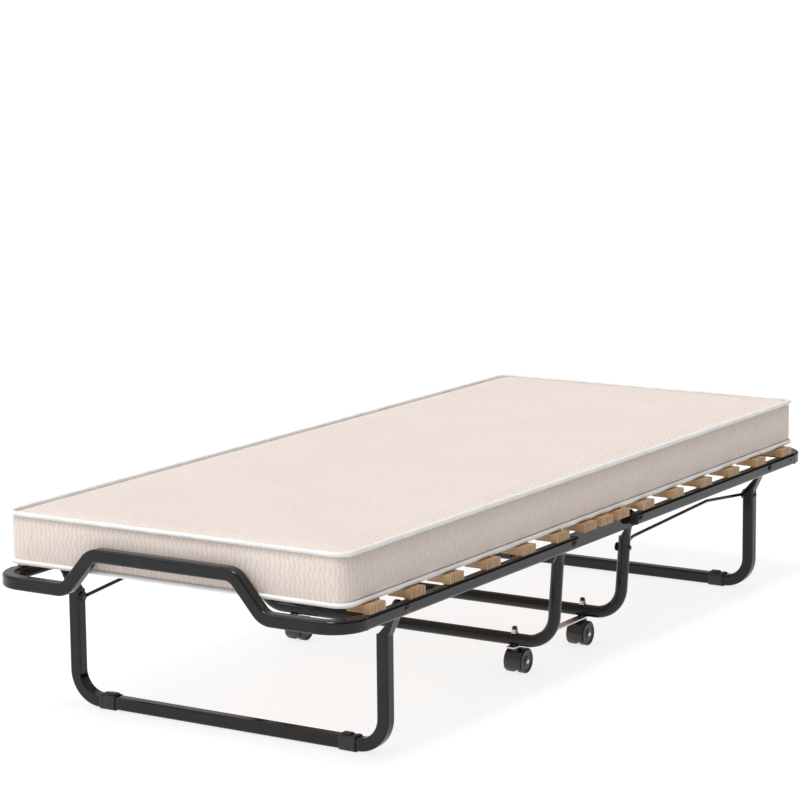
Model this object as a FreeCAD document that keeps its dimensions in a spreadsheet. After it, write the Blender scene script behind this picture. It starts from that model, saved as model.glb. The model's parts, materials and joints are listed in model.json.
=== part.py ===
import FreeCAD, Part
import math
import os

import Sketcher
from FreeCAD import Placement, Rotation, Vector

# A folding rollaway bed.  +X runs along the bed towards its far end, +Y across it,
# +Z up.  The origin lies on the floor, under the middle of the bed.  Both ends are
# alike: the far half is the near half turned by 180 degrees about Z.

DIMENSIONS = {
    # whole bed
    "bed_length": 1905.0,
    "bed_width": 800.0,
    "pivot_x": 140.0,            # fold pivots, either side of the middle
    "rail_axis_z": 278.0,        # height of the side rails and of every fold pivot
    # side rails: rounded rectangular steel tube
    "rail_high": 25.0,
    "rail_wide": 20.0,
    "rail_wall": 1.5,
    "rail_round": 6.0,
    "rail_past_pivot": 13.0,
    "rail_outer_end_x": 880.0,
    "plug_flange": 2.0,
    # end tube with its mattress retainer hoop
    "square_tube": 25.0,         # side of the square tube of the end hoops and legs
    "square_round": 5.0,
    "tube_wall": 1.5,
    "frame_corner": 55.0,
    "spigot_dia": 16.4,
    "spigot_deep": 32.0,
    "hoop_foot_y": 222.0,
    "hoop_top_y": 158.0,
    "hoop_top_z": 351.0,
    "hoop_bend": 36.0,
    # slats and the moulded caps on their ends
    "slat_wide": 40.0,
    "slat_thick": 7.5,
    "slat_bottom_z": 297.5,
    "slat_end_y": 386.0,
    "slat_round": 2.5,
    "slat_first_x": 179.0,
    "slat_pitch": 133.0,
    "centre_slat_pitch": 69.4,
    "cap_wide": 50.0,
    "cap_outer_y": 396.0,
    "cap_inner_y": 347.0,
    "cap_top_z": 306.8,
    "cap_under_z": 292.0,
    "cap_groove": 1.2,
    "peg_dia": 6.0,
    "peg_long": 7.0,
    # centre side plates
    "plate_high": 32.0,
    "plate_thick": 5.0,
    "plate_past_pivot": 10.0,
    "plate_outer_y": 379.4,
    "plate_round": 8.0,
    # folding legs
    "leg_x": 752.0,
    "leg_post_y": 350.0,
    "leg_bend": 55.0,
    "leg_lug_y": 379.4,
    "lug_thick": 6.0,
    "foot_axis_z": 14.5,
    "leg_neck_drop": 52.0,       # from the rail axis down to the tube's full section
    "leg_neck_long": 36.0,
    "leg_lug_radius": 14.0,
    "clip_long": 36.0,
    "clip_inset": 292.0,
    "clip_tab_wide": 12.0,
    "clip_tab_long": 16.0,
    "clip_tab_high": 3.2,
    # centre tubes on casters
    "caster_y": 264.0,
    "caster_tube_dia": 25.0,
    "run_axis_z": 70.0,
    "run_bend": 60.0,
    "caster_leg_top_y": 361.0,
    "caster_leg_low_y": 350.0,
    "caster_neck_drop": 42.0,
    "caster_neck_long": 24.0,
    "caster_lug_radius": 16.0,
    "strap_wide": 20.0,
    "strap_thick": 3.0,
    "strap_past_tube": 20.0,
    # linkage rods, one to each half
    "link_drop": 65.0,           # rod pivots lie this far under the fold pivots
    "rod_dia": 7.0,
    "rod_eye_dia": 18.0,
    "rod_eye_thick": 4.0,
    "rod_peak_x": 572.0,
    "rod_peak_rise": 17.0,
    # fasteners
    "bolt_dia": 8.0,
    "bolt_hole_dia": 8.1,
    "pin_dia": 6.0,
    "pin_hole_dia": 6.1,
    "screw_dia": 4.0,
    # casters
    "wheel_dia": 48.0,
    "wheel_wide": 14.0,
    "wheel_gap": 13.0,
    "axle_dia": 6.0,
    "caster_trail": 12.0,
    "hood_gap": 1.2,
    "hood_wall": 1.8,
    # mattress
    "mattress_length": 1850.0,
    "mattress_width": 764.0,
    "mattress_bottom_z": 308.0,
    "mattress_thick": 100.0,
    "mattress_corner": 34.0,
    "mattress_bend_x": 225.0,
}

doc = FreeCAD.newDocument("RollawayBed")
sheet = doc.addObject("Spreadsheet::Sheet", "sizes")
for row, (alias, value) in enumerate(DIMENSIONS.items(), start=1):
    sheet.set("A%d" % row, alias)
    sheet.set("B%d" % row, str(value))
    sheet.setAlias("B%d" % row, alias)
doc.recompute()

nodes = []                       # every sub-part, in the order it is made
UP = Vector(0, 0, 1)
ACROSS = Vector(0, 1, 0)
ALONG = Vector(1, 0, 0)
HALF_TURN = Placement(Vector(0, 0, 0), Rotation(UP, 180))
NO_TURN = Placement()
ENDS = (("near", NO_TURN), ("far", HALF_TURN))


def size(alias):
    """The value of a driving dimension, read from the sheet."""
    return float(sheet.get(alias))


def bind(obj, **expressions):
    """Tie properties of an object to formulas on the sheet."""
    for name, formula in expressions.items():
        obj.setExpression(name.replace("__", "."), formula)
    return obj


def keep(obj, label, placement=None):
    """Make an object one of the bed's named sub-parts."""
    obj.Label = label
    if placement is not None:
        obj.Placement = placement.multiply(obj.Placement)
    nodes.append(obj)
    return obj


def box(name, centre_x, low_y, low_z, length, width, height):
    """A block centred on centre_x; its three sizes are formulas."""
    block = doc.addObject("Part::Box", name)
    bind(block, Length=length, Width=width, Height=height)
    block.setExpression("Placement.Base.x", "%s - (%s) / 2" % (centre_x, length))
    block.setExpression("Placement.Base.y", low_y)
    block.setExpression("Placement.Base.z", low_z)
    return block


def rod(name, axis, centre, radius, length):
    """A cylinder along an axis, centred on a point; radius and length are formulas."""
    cylinder = doc.addObject("Part::Cylinder", name)
    bind(cylinder, Radius=radius, Height=length)
    doc.recompute()
    middle = Vector(*centre)
    start = middle - Vector(*axis) * (cylinder.Height.Value / 2)
    cylinder.Placement = Placement(start, Rotation(UP, Vector(*axis)))
    return cylinder


def cut(name, base, tools):
    """The base with every tool taken out of it."""
    tool = tools[0] if len(tools) == 1 else fuse(name + "_tools", tools)
    result = doc.addObject("Part::Cut", name)
    result.Base = base
    result.Tool = tool
    return result


def fuse(name, pieces):
    """Several shapes joined into one."""
    result = doc.addObject("Part::MultiFuse", name)
    result.Shapes = pieces
    return result


def group(name, pieces):
    """Several separate solids kept as one sub-part."""
    result = doc.addObject("Part::Compound", name)
    result.Links = pieces
    return result


def solid(name, shape):
    """A shape worked out with Part's own functions."""
    feature = doc.addObject("Part::Feature", name)
    feature.Shape = shape
    return feature


def rounded_rectangle(sketch, width, height, radius):
    """A rectangle with rounded corners, centred on the sketch's origin."""
    half_w, half_h, r = 50.0, 40.0, 5.0
    corners = ((1, 1), (-1, 1), (-1, -1), (1, -1))
    arcs = []
    for number, (sx, sy) in enumerate(corners):
        centre = Vector(sx * (half_w - r), sy * (half_h - r), 0)
        start = number * math.pi / 2
        circle = Part.Circle(centre, Vector(0, 0, 1), r)
        arcs.append(sketch.addGeometry(Part.ArcOfCircle(circle, start, start + math.pi / 2)))
    lines = []
    for number in range(4):
        tail = sketch.Geometry[arcs[number]].EndPoint
        head = sketch.Geometry[arcs[(number + 1) % 4]].StartPoint
        lines.append(sketch.addGeometry(Part.LineSegment(tail, head)))
    for number in range(4):
        after = arcs[(number + 1) % 4]
        sketch.addConstraint(Sketcher.Constraint("Tangent", arcs[number], 2, lines[number], 1))
        sketch.addConstraint(Sketcher.Constraint("Tangent", lines[number], 2, after, 1))
    for number in range(1, 4):
        sketch.addConstraint(Sketcher.Constraint("Equal", arcs[0], arcs[number]))
    sketch.addConstraint(Sketcher.Constraint("Horizontal", lines[0]))
    sketch.addConstraint(Sketcher.Constraint("Vertical", lines[1]))
    sketch.addConstraint(Sketcher.Constraint("Horizontal", lines[2]))
    sketch.addConstraint(Sketcher.Constraint("Vertical", lines[3]))
    sketch.addConstraint(Sketcher.Constraint("Symmetric", arcs[0], 3, arcs[2], 3, -1, 1))
    wide = sketch.addConstraint(Sketcher.Constraint("DistanceX", lines[1], 1, lines[3], 1, 90.0))
    high = sketch.addConstraint(Sketcher.Constraint("DistanceY", lines[2], 1, lines[0], 1, 80.0))
    bend = sketch.addConstraint(Sketcher.Constraint("Radius", arcs[0], r))
    sketch.setExpression("Constraints[%d]" % wide, width)
    sketch.setExpression("Constraints[%d]" % high, height)
    sketch.setExpression("Constraints[%d]" % bend, radius)


def plane(body, role):
    """One of a body's own origin planes."""
    return next(f for f in body.Origin.OriginFeatures if f.Role == role)


def bar(name, role, width, height, radius, length, symmetric=False):
    """A body made by padding a rounded rectangle off one of its origin planes."""
    body = doc.addObject("PartDesign::Body", name)
    sketch = body.newObject("Sketcher::SketchObject", name + "_section")
    sketch.AttachmentSupport = [(plane(body, role), "")]
    sketch.MapMode = "FlatFace"
    rounded_rectangle(sketch, width, height, radius)
    pad = body.newObject("PartDesign::Pad", name + "_pad")
    pad.Profile = sketch
    pad.setExpression("Length", length)
    pad.Midplane = symmetric
    body.Tip = pad
    doc.recompute()
    return body


def path_through(points, radii):
    """A wire of straight runs joined by tangent arcs at the inner points."""
    edges = []
    tail = points[0]
    for number in range(1, len(points) - 1):
        corner = points[number]
        back = (points[number - 1] - corner).normalize()
        onward = (points[number + 1] - corner).normalize()
        half = back.getAngle(onward) / 2
        reach = radii[number - 1] / math.tan(half)
        start = corner + back * reach
        end = corner + onward * reach
        inward = (back + onward).normalize()
        centre = corner + inward * (radii[number - 1] / math.sin(half))
        middle = centre - inward * radii[number - 1]
        edges.append(Part.LineSegment(tail, start).toShape())
        edges.append(Part.Arc(start, middle, end).toShape())
        tail = end
    edges.append(Part.LineSegment(tail, points[-1]).toShape())
    return Part.Wire(edges)


def wire_start(wire):
    """The first point of a wire and its direction there."""
    first = wire.OrderedEdges[0]
    return first.valueAt(first.FirstParameter), first.tangentAt(first.FirstParameter)


def rounded_outline(centre, long, wide, radius):
    """A level rounded rectangle, as a wire of four lines and four arcs."""
    corners = []
    for number, (sx, sy) in enumerate(((1, 1), (-1, 1), (-1, -1), (1, -1))):
        middle = centre + Vector(sx * (long / 2 - radius), sy * (wide / 2 - radius), 0)
        angles = [number * math.pi / 2 + step * math.pi / 4 for step in range(3)]
        corners.append([middle + Vector(math.cos(a), math.sin(a), 0) * radius for a in angles])
    edges = []
    for number, corner in enumerate(corners):
        edges.append(Part.Arc(*corner).toShape())
        edges.append(Part.LineSegment(corner[2], corners[(number + 1) % 4][0]).toShape())
    return Part.Wire(edges)


def square_tube_along(wire):
    """A square tube with rounded edges, swept along a wire."""
    start, direction = wire_start(wire)
    turn = Placement(start, Rotation(UP, direction))
    side, radius, wall = size("square_tube"), size("square_round"), size("tube_wall")
    pipes = []
    for inset in (0, wall):
        outline = rounded_outline(Vector(), side - 2 * inset, side - 2 * inset, radius - inset)
        outline.Placement = turn
        pipes.append(wire.makePipe(Part.Face(outline)))
    return pipes[0].cut(pipes[1])


def tube_along(wire, radius, wall):
    """A round tube along a wire; a wall of None makes it solid."""
    start, direction = wire_start(wire)
    outer = wire.makePipe(Part.Face(Part.Wire(Part.makeCircle(radius, start, direction))))
    if wall is None:
        return outer
    inner = wire.makePipe(Part.Face(Part.Wire(Part.makeCircle(radius - wall, start, direction))))
    return outer.cut(inner)


def round_neck(x, side, tube_y, lug_y, neck_z, crush, eye_radius):
    """The neck of a round tube, from its full round to the flat of its lug."""
    inside = size("caster_tube_dia") / 2 - 0.6
    neck = Part.Ellipse(Vector(x, side * tube_y, neck_z - 3), inside, inside * 0.999)
    flat = Part.Ellipse(Vector(x, side * lug_y, neck_z + crush), eye_radius - 0.6,
                        size("lug_thick") / 2 - 0.2)
    return Part.makeLoft([Part.Wire(neck.toShape()), Part.Wire(flat.toShape())], True, True)


def square_neck(x, side, tube_y, lug_y, neck_z, crush, eye_radius):
    """The neck of a square tube, from its full square to the flat of its lug."""
    inside = size("square_tube") - 0.8
    thick = size("lug_thick") - 0.4
    neck = rounded_outline(Vector(x, side * tube_y, neck_z - 3), inside, inside,
                           size("square_round") - 0.4)
    flat = rounded_outline(Vector(x, side * lug_y, neck_z + crush), 2 * eye_radius - 1.2, thick,
                           thick * 0.4)
    return Part.makeLoft([neck, flat], True, True)


def flattened_end(x, side, lug_y, neck_z, crush, eye_radius, loft):
    """The crushed, stepped end of a tube: its neck, a flat lug and its round eye."""
    half_thick = size("lug_thick") / 2
    pivot = Vector(x, side * lug_y - half_thick, size("rail_axis_z"))
    low = neck_z + crush - 1.5
    stem = Part.makeBox(2 * eye_radius - 2, 2 * half_thick, size("rail_axis_z") - low,
                        Vector(x - eye_radius + 1, side * lug_y - half_thick, low))
    eye = Part.makeCylinder(eye_radius, 2 * half_thick, pivot, ACROSS)
    top = Part.makeBox(100, 50, 100, Vector(x - 50, side * lug_y - 25, low))
    hole = Part.makeCylinder(size("bolt_hole_dia") / 2, 50, pivot - ACROSS * 25, ACROSS)
    return loft.fuse([stem, eye.common(top)]), hole


def hex_bolt(name, x, z, outer_y, inner_y, dia, side):
    """A bolt across the bed: a domed head outboard, a hex nut inboard."""
    middle = (outer_y + inner_y) / 2
    shank = doc.addObject("Part::Cylinder", name + "_shank")
    shank.setExpression("Radius", "%s / 2" % dia)
    shank.Height = outer_y - inner_y
    shank.Placement = Placement(Vector(x, side * inner_y, z), Rotation(UP, ACROSS * side))
    head = doc.addObject("Part::Cone", name + "_head")
    head.setExpression("Radius1", "%s * 0.95" % dia)
    head.setExpression("Radius2", "%s * 0.55" % dia)
    head.setExpression("Height", "%s * 0.5" % dia)
    head.Placement = Placement(Vector(x, side * outer_y, z), Rotation(UP, ACROSS * side))
    nut = doc.addObject("Part::Prism", name + "_nut")
    nut.Polygon = 6
    nut.setExpression("Circumradius", "%s * 0.9" % dia)
    nut.setExpression("Height", "%s * 0.7" % dia)
    nut.Placement = Placement(Vector(x, side * inner_y, z), Rotation(UP, ACROSS * -side))
    return fuse(name, [shank, head, nut])


def hole_across(name, x, z, dia, reach=60.0, centre_y=0.0):
    """A drill across the bed, to cut a bolt's hole."""
    drill = doc.addObject("Part::Cylinder", name)
    drill.setExpression("Radius", "%s / 2" % dia)
    drill.Height = reach
    drill.Placement = Placement(Vector(x, centre_y - reach / 2, z), Rotation(UP, ACROSS))
    return drill


def side_name(side, turn):
    """left is +Y and right is -Y, once the half stands at its own end."""
    turned = -side if turn is HALF_TURN else side
    return "left" if turned > 0 else "right"


# --------------------------------------------------------------- side rails

def side_rail(end, turn, side):
    """One steel side rail of a half frame, drilled for its bolts and cap pegs."""
    label = "%s_rail_%s" % (end, side_name(side, turn))
    length = "sizes.rail_outer_end_x - sizes.pivot_x + sizes.rail_past_pivot"
    outer = bar(label + "_outer", "YZ_Plane", "sizes.rail_wide", "sizes.rail_high", "sizes.rail_round",
                length)
    inner = bar(label + "_bore", "YZ_Plane", "sizes.rail_wide - 2 * sizes.rail_wall",
                "sizes.rail_high - 2 * sizes.rail_wall", "sizes.rail_round - sizes.rail_wall", length)
    place = Vector(-size("rail_outer_end_x"), side * (size("bed_width") - size("rail_wide")) / 2,
                   size("rail_axis_z"))
    outer.Placement = Placement(place, Rotation())
    inner.Placement = Placement(place, Rotation())
    drills = [inner]
    for name, x in (("fold", size("pivot_x")), ("leg", size("leg_x"))):
        drills.append(hole_across(label + "_%s_hole" % name, -x, size("rail_axis_z"),
                                  "sizes.bolt_hole_dia", centre_y=place.y))
    for number in range(6):
        x = -size("slat_first_x") - number * size("slat_pitch")
        drills.append(rod(label + "_peg_hole%d" % (number + 1), (0, 0, 1),
                          (x, place.y, size("rail_axis_z") + size("rail_high") / 2),
                          "sizes.peg_dia / 2 + 0.1", "sizes.rail_wall * 4"))
    return keep(cut(label, outer, drills), label, turn)


def rail_plugs(end, turn):
    """The moulded plugs in the rails' ends beside the fold pivots."""
    plugs = []
    for side in (1, -1):
        stem = "%s_plug_%s" % (end, side_name(side, turn))
        x = -size("pivot_x") + size("rail_past_pivot")
        y = side * (size("bed_width") - size("rail_wide")) / 2
        flange = bar(stem + "_flange", "YZ_Plane", "sizes.rail_wide", "sizes.rail_high", "sizes.rail_round",
                     "sizes.plug_flange")
        flange.Placement = Placement(Vector(x, y, size("rail_axis_z")), Rotation())
        plugs.append(flange)
    return keep(group("%s_rail_plugs" % end, plugs), "%s_rail_plugs" % end, turn)


# ------------------------------------------------- end tube with its hoop

def end_hoop(end, turn):
    """The end tube: round both corners, and up over the retainer hoop between them."""
    half_side = size("square_tube") / 2
    x_end = -(size("bed_length") / 2 - half_side)
    y_tube = size("bed_width") / 2 - half_side
    y_rail = (size("bed_width") - size("rail_wide")) / 2
    z = size("rail_axis_z")
    x_joint = -size("rail_outer_end_x")
    foot, top, high = size("hoop_foot_y"), size("hoop_top_y"), size("hoop_top_z")
    half = [Vector(x_joint, y_tube, z), Vector(x_end, y_tube, z),
            Vector(x_end, foot, z), Vector(x_end, top, high)]
    mirrored = [Vector(p.x, -p.y, p.z) for p in reversed(half)]
    bends = [size("frame_corner"), size("hoop_bend"), size("hoop_bend")]
    wire = path_through(half + mirrored, bends + bends[::-1])
    shape = square_tube_along(wire)
    inner = size("square_tube") - size("tube_wall")
    for side in (1, -1):
        start = Vector(x_joint - 6, side * y_rail, z)
        spigot = Part.makeCylinder(size("spigot_dia") / 2, size("spigot_deep") + 6, start, ALONG)
        stop = Part.makeBox(6, inner, inner, Vector(x_joint - 6, side * y_tube - inner / 2, z - inner / 2))
        shape = shape.fuse([spigot, stop])
    return keep(solid("%s_end_hoop" % end, shape.removeSplitter()), "%s_end_hoop" % end, turn)


def joint_screws(end, turn):
    """The screws that hold the end tube's spigots in the rails."""
    screws = []
    for side in (1, -1):
        name = "%s_joint_screw_%s" % (end, side_name(side, turn))
        outer_y = size("bed_width") / 2
        head = doc.addObject("Part::Cone", name + "_head")
        bind(head, Radius1="sizes.screw_dia", Radius2="sizes.screw_dia * 0.6",
             Height="sizes.screw_dia * 0.4")
        x = -size("rail_outer_end_x") + size("spigot_deep") * 0.6
        head.Placement = Placement(Vector(x, side * outer_y, size("rail_axis_z")),
                                   Rotation(UP, ACROSS * side))
        screws.append(head)
    return keep(group("%s_joint_screws" % end, screws), "%s_joint_screws" % end, turn)


# ------------------------------------------------------- slats and caps

def slat(label, x, turn):
    """One wooden slat across the bed."""
    body = bar(label, "XZ_Plane", "sizes.slat_wide", "sizes.slat_thick", "sizes.slat_round",
               "sizes.slat_end_y * 2", symmetric=True)
    body.Placement = Placement(Vector(x, 0, size("slat_bottom_z") + size("slat_thick") / 2), Rotation())
    return keep(body, label, turn)


def slat_cap(name, x, side, seat_inner_y):
    """A moulded cap: it grips a slat's end, and steps down onto the rail or plate."""
    width = "sizes.cap_outer_y - sizes.cap_inner_y"
    high = "sizes.cap_top_z - sizes.cap_under_z"
    block = box(name + "_block", "0", "sizes.cap_inner_y", "sizes.cap_under_z",
                "sizes.cap_wide", width, high)
    foot = box(name + "_foot", "0", str(seat_inner_y), "sizes.rail_axis_z + sizes.rail_high / 2",
               "sizes.cap_wide", "sizes.cap_outer_y - %s" % seat_inner_y, "3")
    slot = box(name + "_slot", "0", "sizes.cap_inner_y - 1", "sizes.slat_bottom_z - 0.1",
               "sizes.slat_wide + 0.2", "sizes.slat_end_y - sizes.cap_inner_y + 1.2",
               "sizes.slat_thick + 0.2")
    grooves = []
    for number in range(5):
        place = "(%d) * sizes.cap_wide / 6" % (number - 2)
        grooves.append(box("%s_groove%d" % (name, number + 1), place,
                           "sizes.cap_outer_y - sizes.cap_groove", "sizes.rail_axis_z",
                           "sizes.cap_groove * 1.5", "sizes.cap_groove * 2", "60"))
    cap = cut(name, fuse(name + "_body", [block, foot]), [slot] + grooves)
    rotation = Rotation() if side > 0 else Rotation(UP, 180)
    cap.Placement = Placement(Vector(x, 0, 0), rotation)
    return cap


def cap_with_peg(name, x, side):
    """A cap whose peg drops through the rail's upper wall."""
    cap = slat_cap(name + "_shell", x, side, size("bed_width") / 2 - size("rail_wide") + 1)
    peg = rod(name + "_peg", (0, 0, 1),
              (x, side * (size("bed_width") - size("rail_wide")) / 2,
               size("rail_axis_z") + size("rail_high") / 2 + 1 - size("peg_long") / 2),
              "sizes.peg_dia / 2", "sizes.peg_long")
    return fuse(name, [cap, peg])


def half_slats(end, turn):
    """The six slats of a half, and their twelve caps."""
    caps = []
    for number in range(6):
        x = -size("slat_first_x") - number * size("slat_pitch")
        slat("%s_slat_%d" % (end, number + 1), x, turn)
        for side in (1, -1):
            caps.append(cap_with_peg("%s_cap_%d_%s" % (end, number + 1, side_name(side, turn)), x, side))
    keep(group("%s_slat_caps" % end, caps), "%s_slat_caps" % end, turn)


def centre_slats():
    """Three slats close together over the caster tubes."""
    caps = []
    for number in (-1, 0, 1):
        x = number * size("centre_slat_pitch")
        slat("centre_slat_%d" % (number + 2), x, NO_TURN)
        for side in (1, -1):
            name = "centre_cap_%d_%s" % (number + 2, side_name(side, NO_TURN))
            caps.append(slat_cap(name, x, side, size("plate_outer_y") - size("plate_thick")))
    keep(group("centre_slat_caps", caps), "centre_slat_caps")


# ---------------------------------------------------------- centre frame

def centre_rail(side):
    """The flat side plate between the two fold pivots."""
    label = "centre_rail_" + side_name(side, NO_TURN)
    long = "2 * (sizes.pivot_x + sizes.plate_past_pivot)"
    body = bar(label + "_plate", "XZ_Plane", long, "sizes.plate_high", "sizes.plate_round",
               "sizes.plate_thick", symmetric=True)
    y = side * (size("plate_outer_y") - size("plate_thick") / 2)
    z = size("rail_axis_z") + size("rail_high") / 2 - size("plate_high") / 2
    body.Placement = Placement(Vector(0, y, z), Rotation())
    drills = []
    for x in (-size("pivot_x"), size("pivot_x")):
        drills.append(hole_across("%s_hole_%s" % (label, "near" if x < 0 else "far"), x, size("rail_axis_z"),
                                  "sizes.bolt_hole_dia", centre_y=y))
    return keep(cut(label, body, drills), label)


def caster_tube(end, turn):
    """The U-shaped centre tube that carries two casters, its ends crushed flat."""
    radius = size("caster_tube_dia") / 2
    x = -size("pivot_x")
    neck_z = size("rail_axis_z") - size("caster_neck_drop")
    neck_long = size("caster_neck_long")
    lug_radius = size("caster_lug_radius")
    lug_y = size("plate_outer_y") - size("plate_thick") - 0.2 - size("lug_thick") / 2
    half = [Vector(x, size("caster_leg_top_y"), neck_z),
            Vector(x, size("caster_leg_low_y"), size("run_axis_z"))]
    mirrored = [Vector(p.x, -p.y, p.z) for p in reversed(half)]
    wire = path_through(half + mirrored, [size("run_bend")] * 2)
    shape = tube_along(wire, radius, size("tube_wall"))
    for side in (1, -1):
        neck = round_neck(x, side, size("caster_leg_top_y"), lug_y, neck_z, neck_long, lug_radius)
        lug, bolt_hole = flattened_end(x, side, lug_y, neck_z, neck_long, lug_radius, neck)
        stud_hole = Part.makeCylinder(size("bolt_hole_dia") / 2, 60,
                                      Vector(x, side * size("caster_y"), size("run_axis_z") - 30), UP)
        shape = shape.fuse(lug).cut(bolt_hole).cut(stud_hole)
    pin_hole = Part.makeCylinder(size("pin_hole_dia") / 2, 60,
                                 Vector(x, size("caster_leg_top_y") - 30,
                                        size("rail_axis_z") - size("link_drop")), ACROSS)
    shape = shape.cut(pin_hole)
    return keep(solid("%s_caster_tube" % end, shape), "%s_caster_tube" % end, turn)


def hinge_bolts():
    """Four bolts: each joins a rail, a centre plate and a caster tube at a fold pivot."""
    bolts = []
    for x in (-size("pivot_x"), size("pivot_x")):
        for side in (1, -1):
            name = "hinge_bolt_%s_%s" % ("near" if x < 0 else "far", side_name(side, NO_TURN))
            inner = size("plate_outer_y") - size("plate_thick") - 0.2 - 6.2
            bolts.append(hex_bolt(name, x, size("rail_axis_z"), size("bed_width") / 2 + 0.3, inner,
                                  "sizes.bolt_dia", side))
    return keep(group("hinge_bolts", bolts), "hinge_bolts")


def caster_strap(side):
    """A flat steel strap under both centre tubes, with a hole for each caster stud."""
    label = "caster_strap_" + side_name(side, NO_TURN)
    body = bar(label + "_flat", "XY_Plane",
               "2 * (sizes.pivot_x + sizes.strap_past_tube)", "sizes.strap_wide", "4", "sizes.strap_thick")
    z = size("run_axis_z") - size("caster_tube_dia") / 2 - size("strap_thick")
    body.Placement = Placement(Vector(0, side * size("caster_y"), z), Rotation())
    drills = []
    for x in (-size("pivot_x"), size("pivot_x")):
        drills.append(rod("%s_hole_%s" % (label, "near" if x < 0 else "far"), (0, 0, 1),
                          (x, side * size("caster_y"), z), "sizes.bolt_hole_dia / 2", "20"))
    return keep(cut(label, body, drills), label)


CASTERS = []
for caster_x in (-1, 1):
    for caster_side in (1, -1):
        where = "%s_%s" % ("near" if caster_x < 0 else "far", "left" if caster_side > 0 else "right")
        CASTERS.append((where, caster_x, caster_side))


def caster_studs():
    """Caster stems: a stud through strap and tube, with a collar over the caster."""
    studs = []
    nuts = []
    collar_top = size("run_axis_z") - size("caster_tube_dia") / 2 - size("strap_thick")
    tube_top = size("run_axis_z") + size("caster_tube_dia") / 2
    for where, x_sign, side in CASTERS:
        centre = (x_sign * size("pivot_x"), side * size("caster_y"))
        low = size("wheel_dia") / 2 + 13
        high = tube_top + 6
        stud = rod("stud_" + where, (0, 0, 1), centre + ((low + high) / 2,), "sizes.bolt_dia / 2",
                   str(high - low))
        collar = rod("collar_" + where, (0, 0, 1), centre + (collar_top - 1,), "7", "2")
        studs.append(fuse("stem_" + where, [stud, collar]))
        hexagon = doc.addObject("Part::Prism", "nut_hex_" + where)
        hexagon.Polygon = 6
        bind(hexagon, Circumradius="sizes.bolt_dia * 0.9", Height="sizes.bolt_dia * 0.9")
        hexagon.Placement = Placement(Vector(centre[0], centre[1], tube_top), Rotation())
        dome = doc.addObject("Part::Sphere", "nut_dome_" + where)
        bind(dome, Radius="sizes.bolt_dia * 0.72")
        dome.Placement = Placement(Vector(centre[0], centre[1], tube_top + 8), Rotation())
        bore = rod("nut_bore_" + where, (0, 0, 1), centre + (tube_top + 3.2,),
                   "sizes.bolt_hole_dia / 2", "6.6")
        nuts.append(cut("cap_nut_" + where, fuse("nut_" + where, [hexagon, dome]), [bore]))
    keep(group("caster_stems", studs), "caster_stems")
    keep(group("cap_nuts", nuts), "cap_nuts")


# --------------------------------------------------------- folding legs

def leg_tube(end, turn):
    """A U-shaped leg, its upper ends crushed flat and stepped out to the rails."""
    x = -size("leg_x")
    post_y = size("leg_post_y")
    neck_z = size("rail_axis_z") - size("leg_neck_drop")
    neck_long = size("leg_neck_long")
    lug_radius = size("leg_lug_radius")
    lug_y = size("leg_lug_y") - size("lug_thick") / 2
    half = [Vector(x, post_y, neck_z), Vector(x, post_y, size("foot_axis_z"))]
    mirrored = [Vector(p.x, -p.y, p.z) for p in reversed(half)]
    wire = path_through(half + mirrored, [size("leg_bend")] * 2)
    shape = square_tube_along(wire)
    for side in (1, -1):
        neck = square_neck(x, side, post_y, lug_y, neck_z, neck_long, lug_radius)
        lug, bolt_hole = flattened_end(x, side, lug_y, neck_z, neck_long, lug_radius, neck)
        shape = shape.fuse(lug).cut(bolt_hole)
    pin_hole = Part.makeCylinder(size("pin_hole_dia") / 2, 60,
                                 Vector(x, post_y - 30, size("rail_axis_z") - size("link_drop")), ACROSS)
    shape = shape.cut(pin_hole)
    return keep(solid("%s_leg" % end, shape), "%s_leg" % end, turn)


def leg_pivot_bolts(end, turn):
    """The two bolts on which a leg swings under its half frame."""
    bolts = []
    for side in (1, -1):
        name = "%s_leg_bolt_%s" % (end, side_name(side, turn))
        bolts.append(hex_bolt(name, -size("leg_x"), size("rail_axis_z"), size("bed_width") / 2 + 0.3,
                              size("leg_lug_y") - 6.3, "sizes.bolt_dia", side))
    return keep(group("%s_leg_pivot_bolts" % end, bolts), "%s_leg_pivot_bolts" % end, turn)


def foot_clips(end, turn):
    """Two moulded sleeves on a leg's floor bar, each with a tab on top."""
    clips = []
    for side in (1, -1):
        name = "%s_foot_clip_%s" % (end, side_name(side, turn))
        start = Placement(Vector(-size("leg_x"), side * (size("clip_inset") - size("clip_long") / 2),
                                 size("foot_axis_z")), Rotation())
        sleeve = bar(name + "_sleeve", "XZ_Plane", "sizes.foot_axis_z * 2", "sizes.foot_axis_z * 2",
                     "sizes.square_round + 1", "sizes.clip_long", symmetric=True)
        bore = bar(name + "_bore", "XZ_Plane", "sizes.square_tube + 0.04", "sizes.square_tube + 0.04",
                   "sizes.square_round", "sizes.clip_long + 2", symmetric=True)
        sleeve.Placement = start
        bore.Placement = start
        middle = "%g * (sizes.clip_inset - sizes.clip_long / 2)" % side
        tab = box(name + "_tab", "-sizes.leg_x", middle + " - sizes.clip_tab_long / 2",
                  "sizes.foot_axis_z * 2 - 1.2",
                  "sizes.clip_tab_wide", "sizes.clip_tab_long", "sizes.clip_tab_high")
        clips.append(cut(name, fuse(name + "_body", [sleeve, tab]), [bore]))
    return keep(group("%s_foot_clips" % end, clips), "%s_foot_clips" % end, turn)


# -------------------------------------------------------- linkage rods

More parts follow.
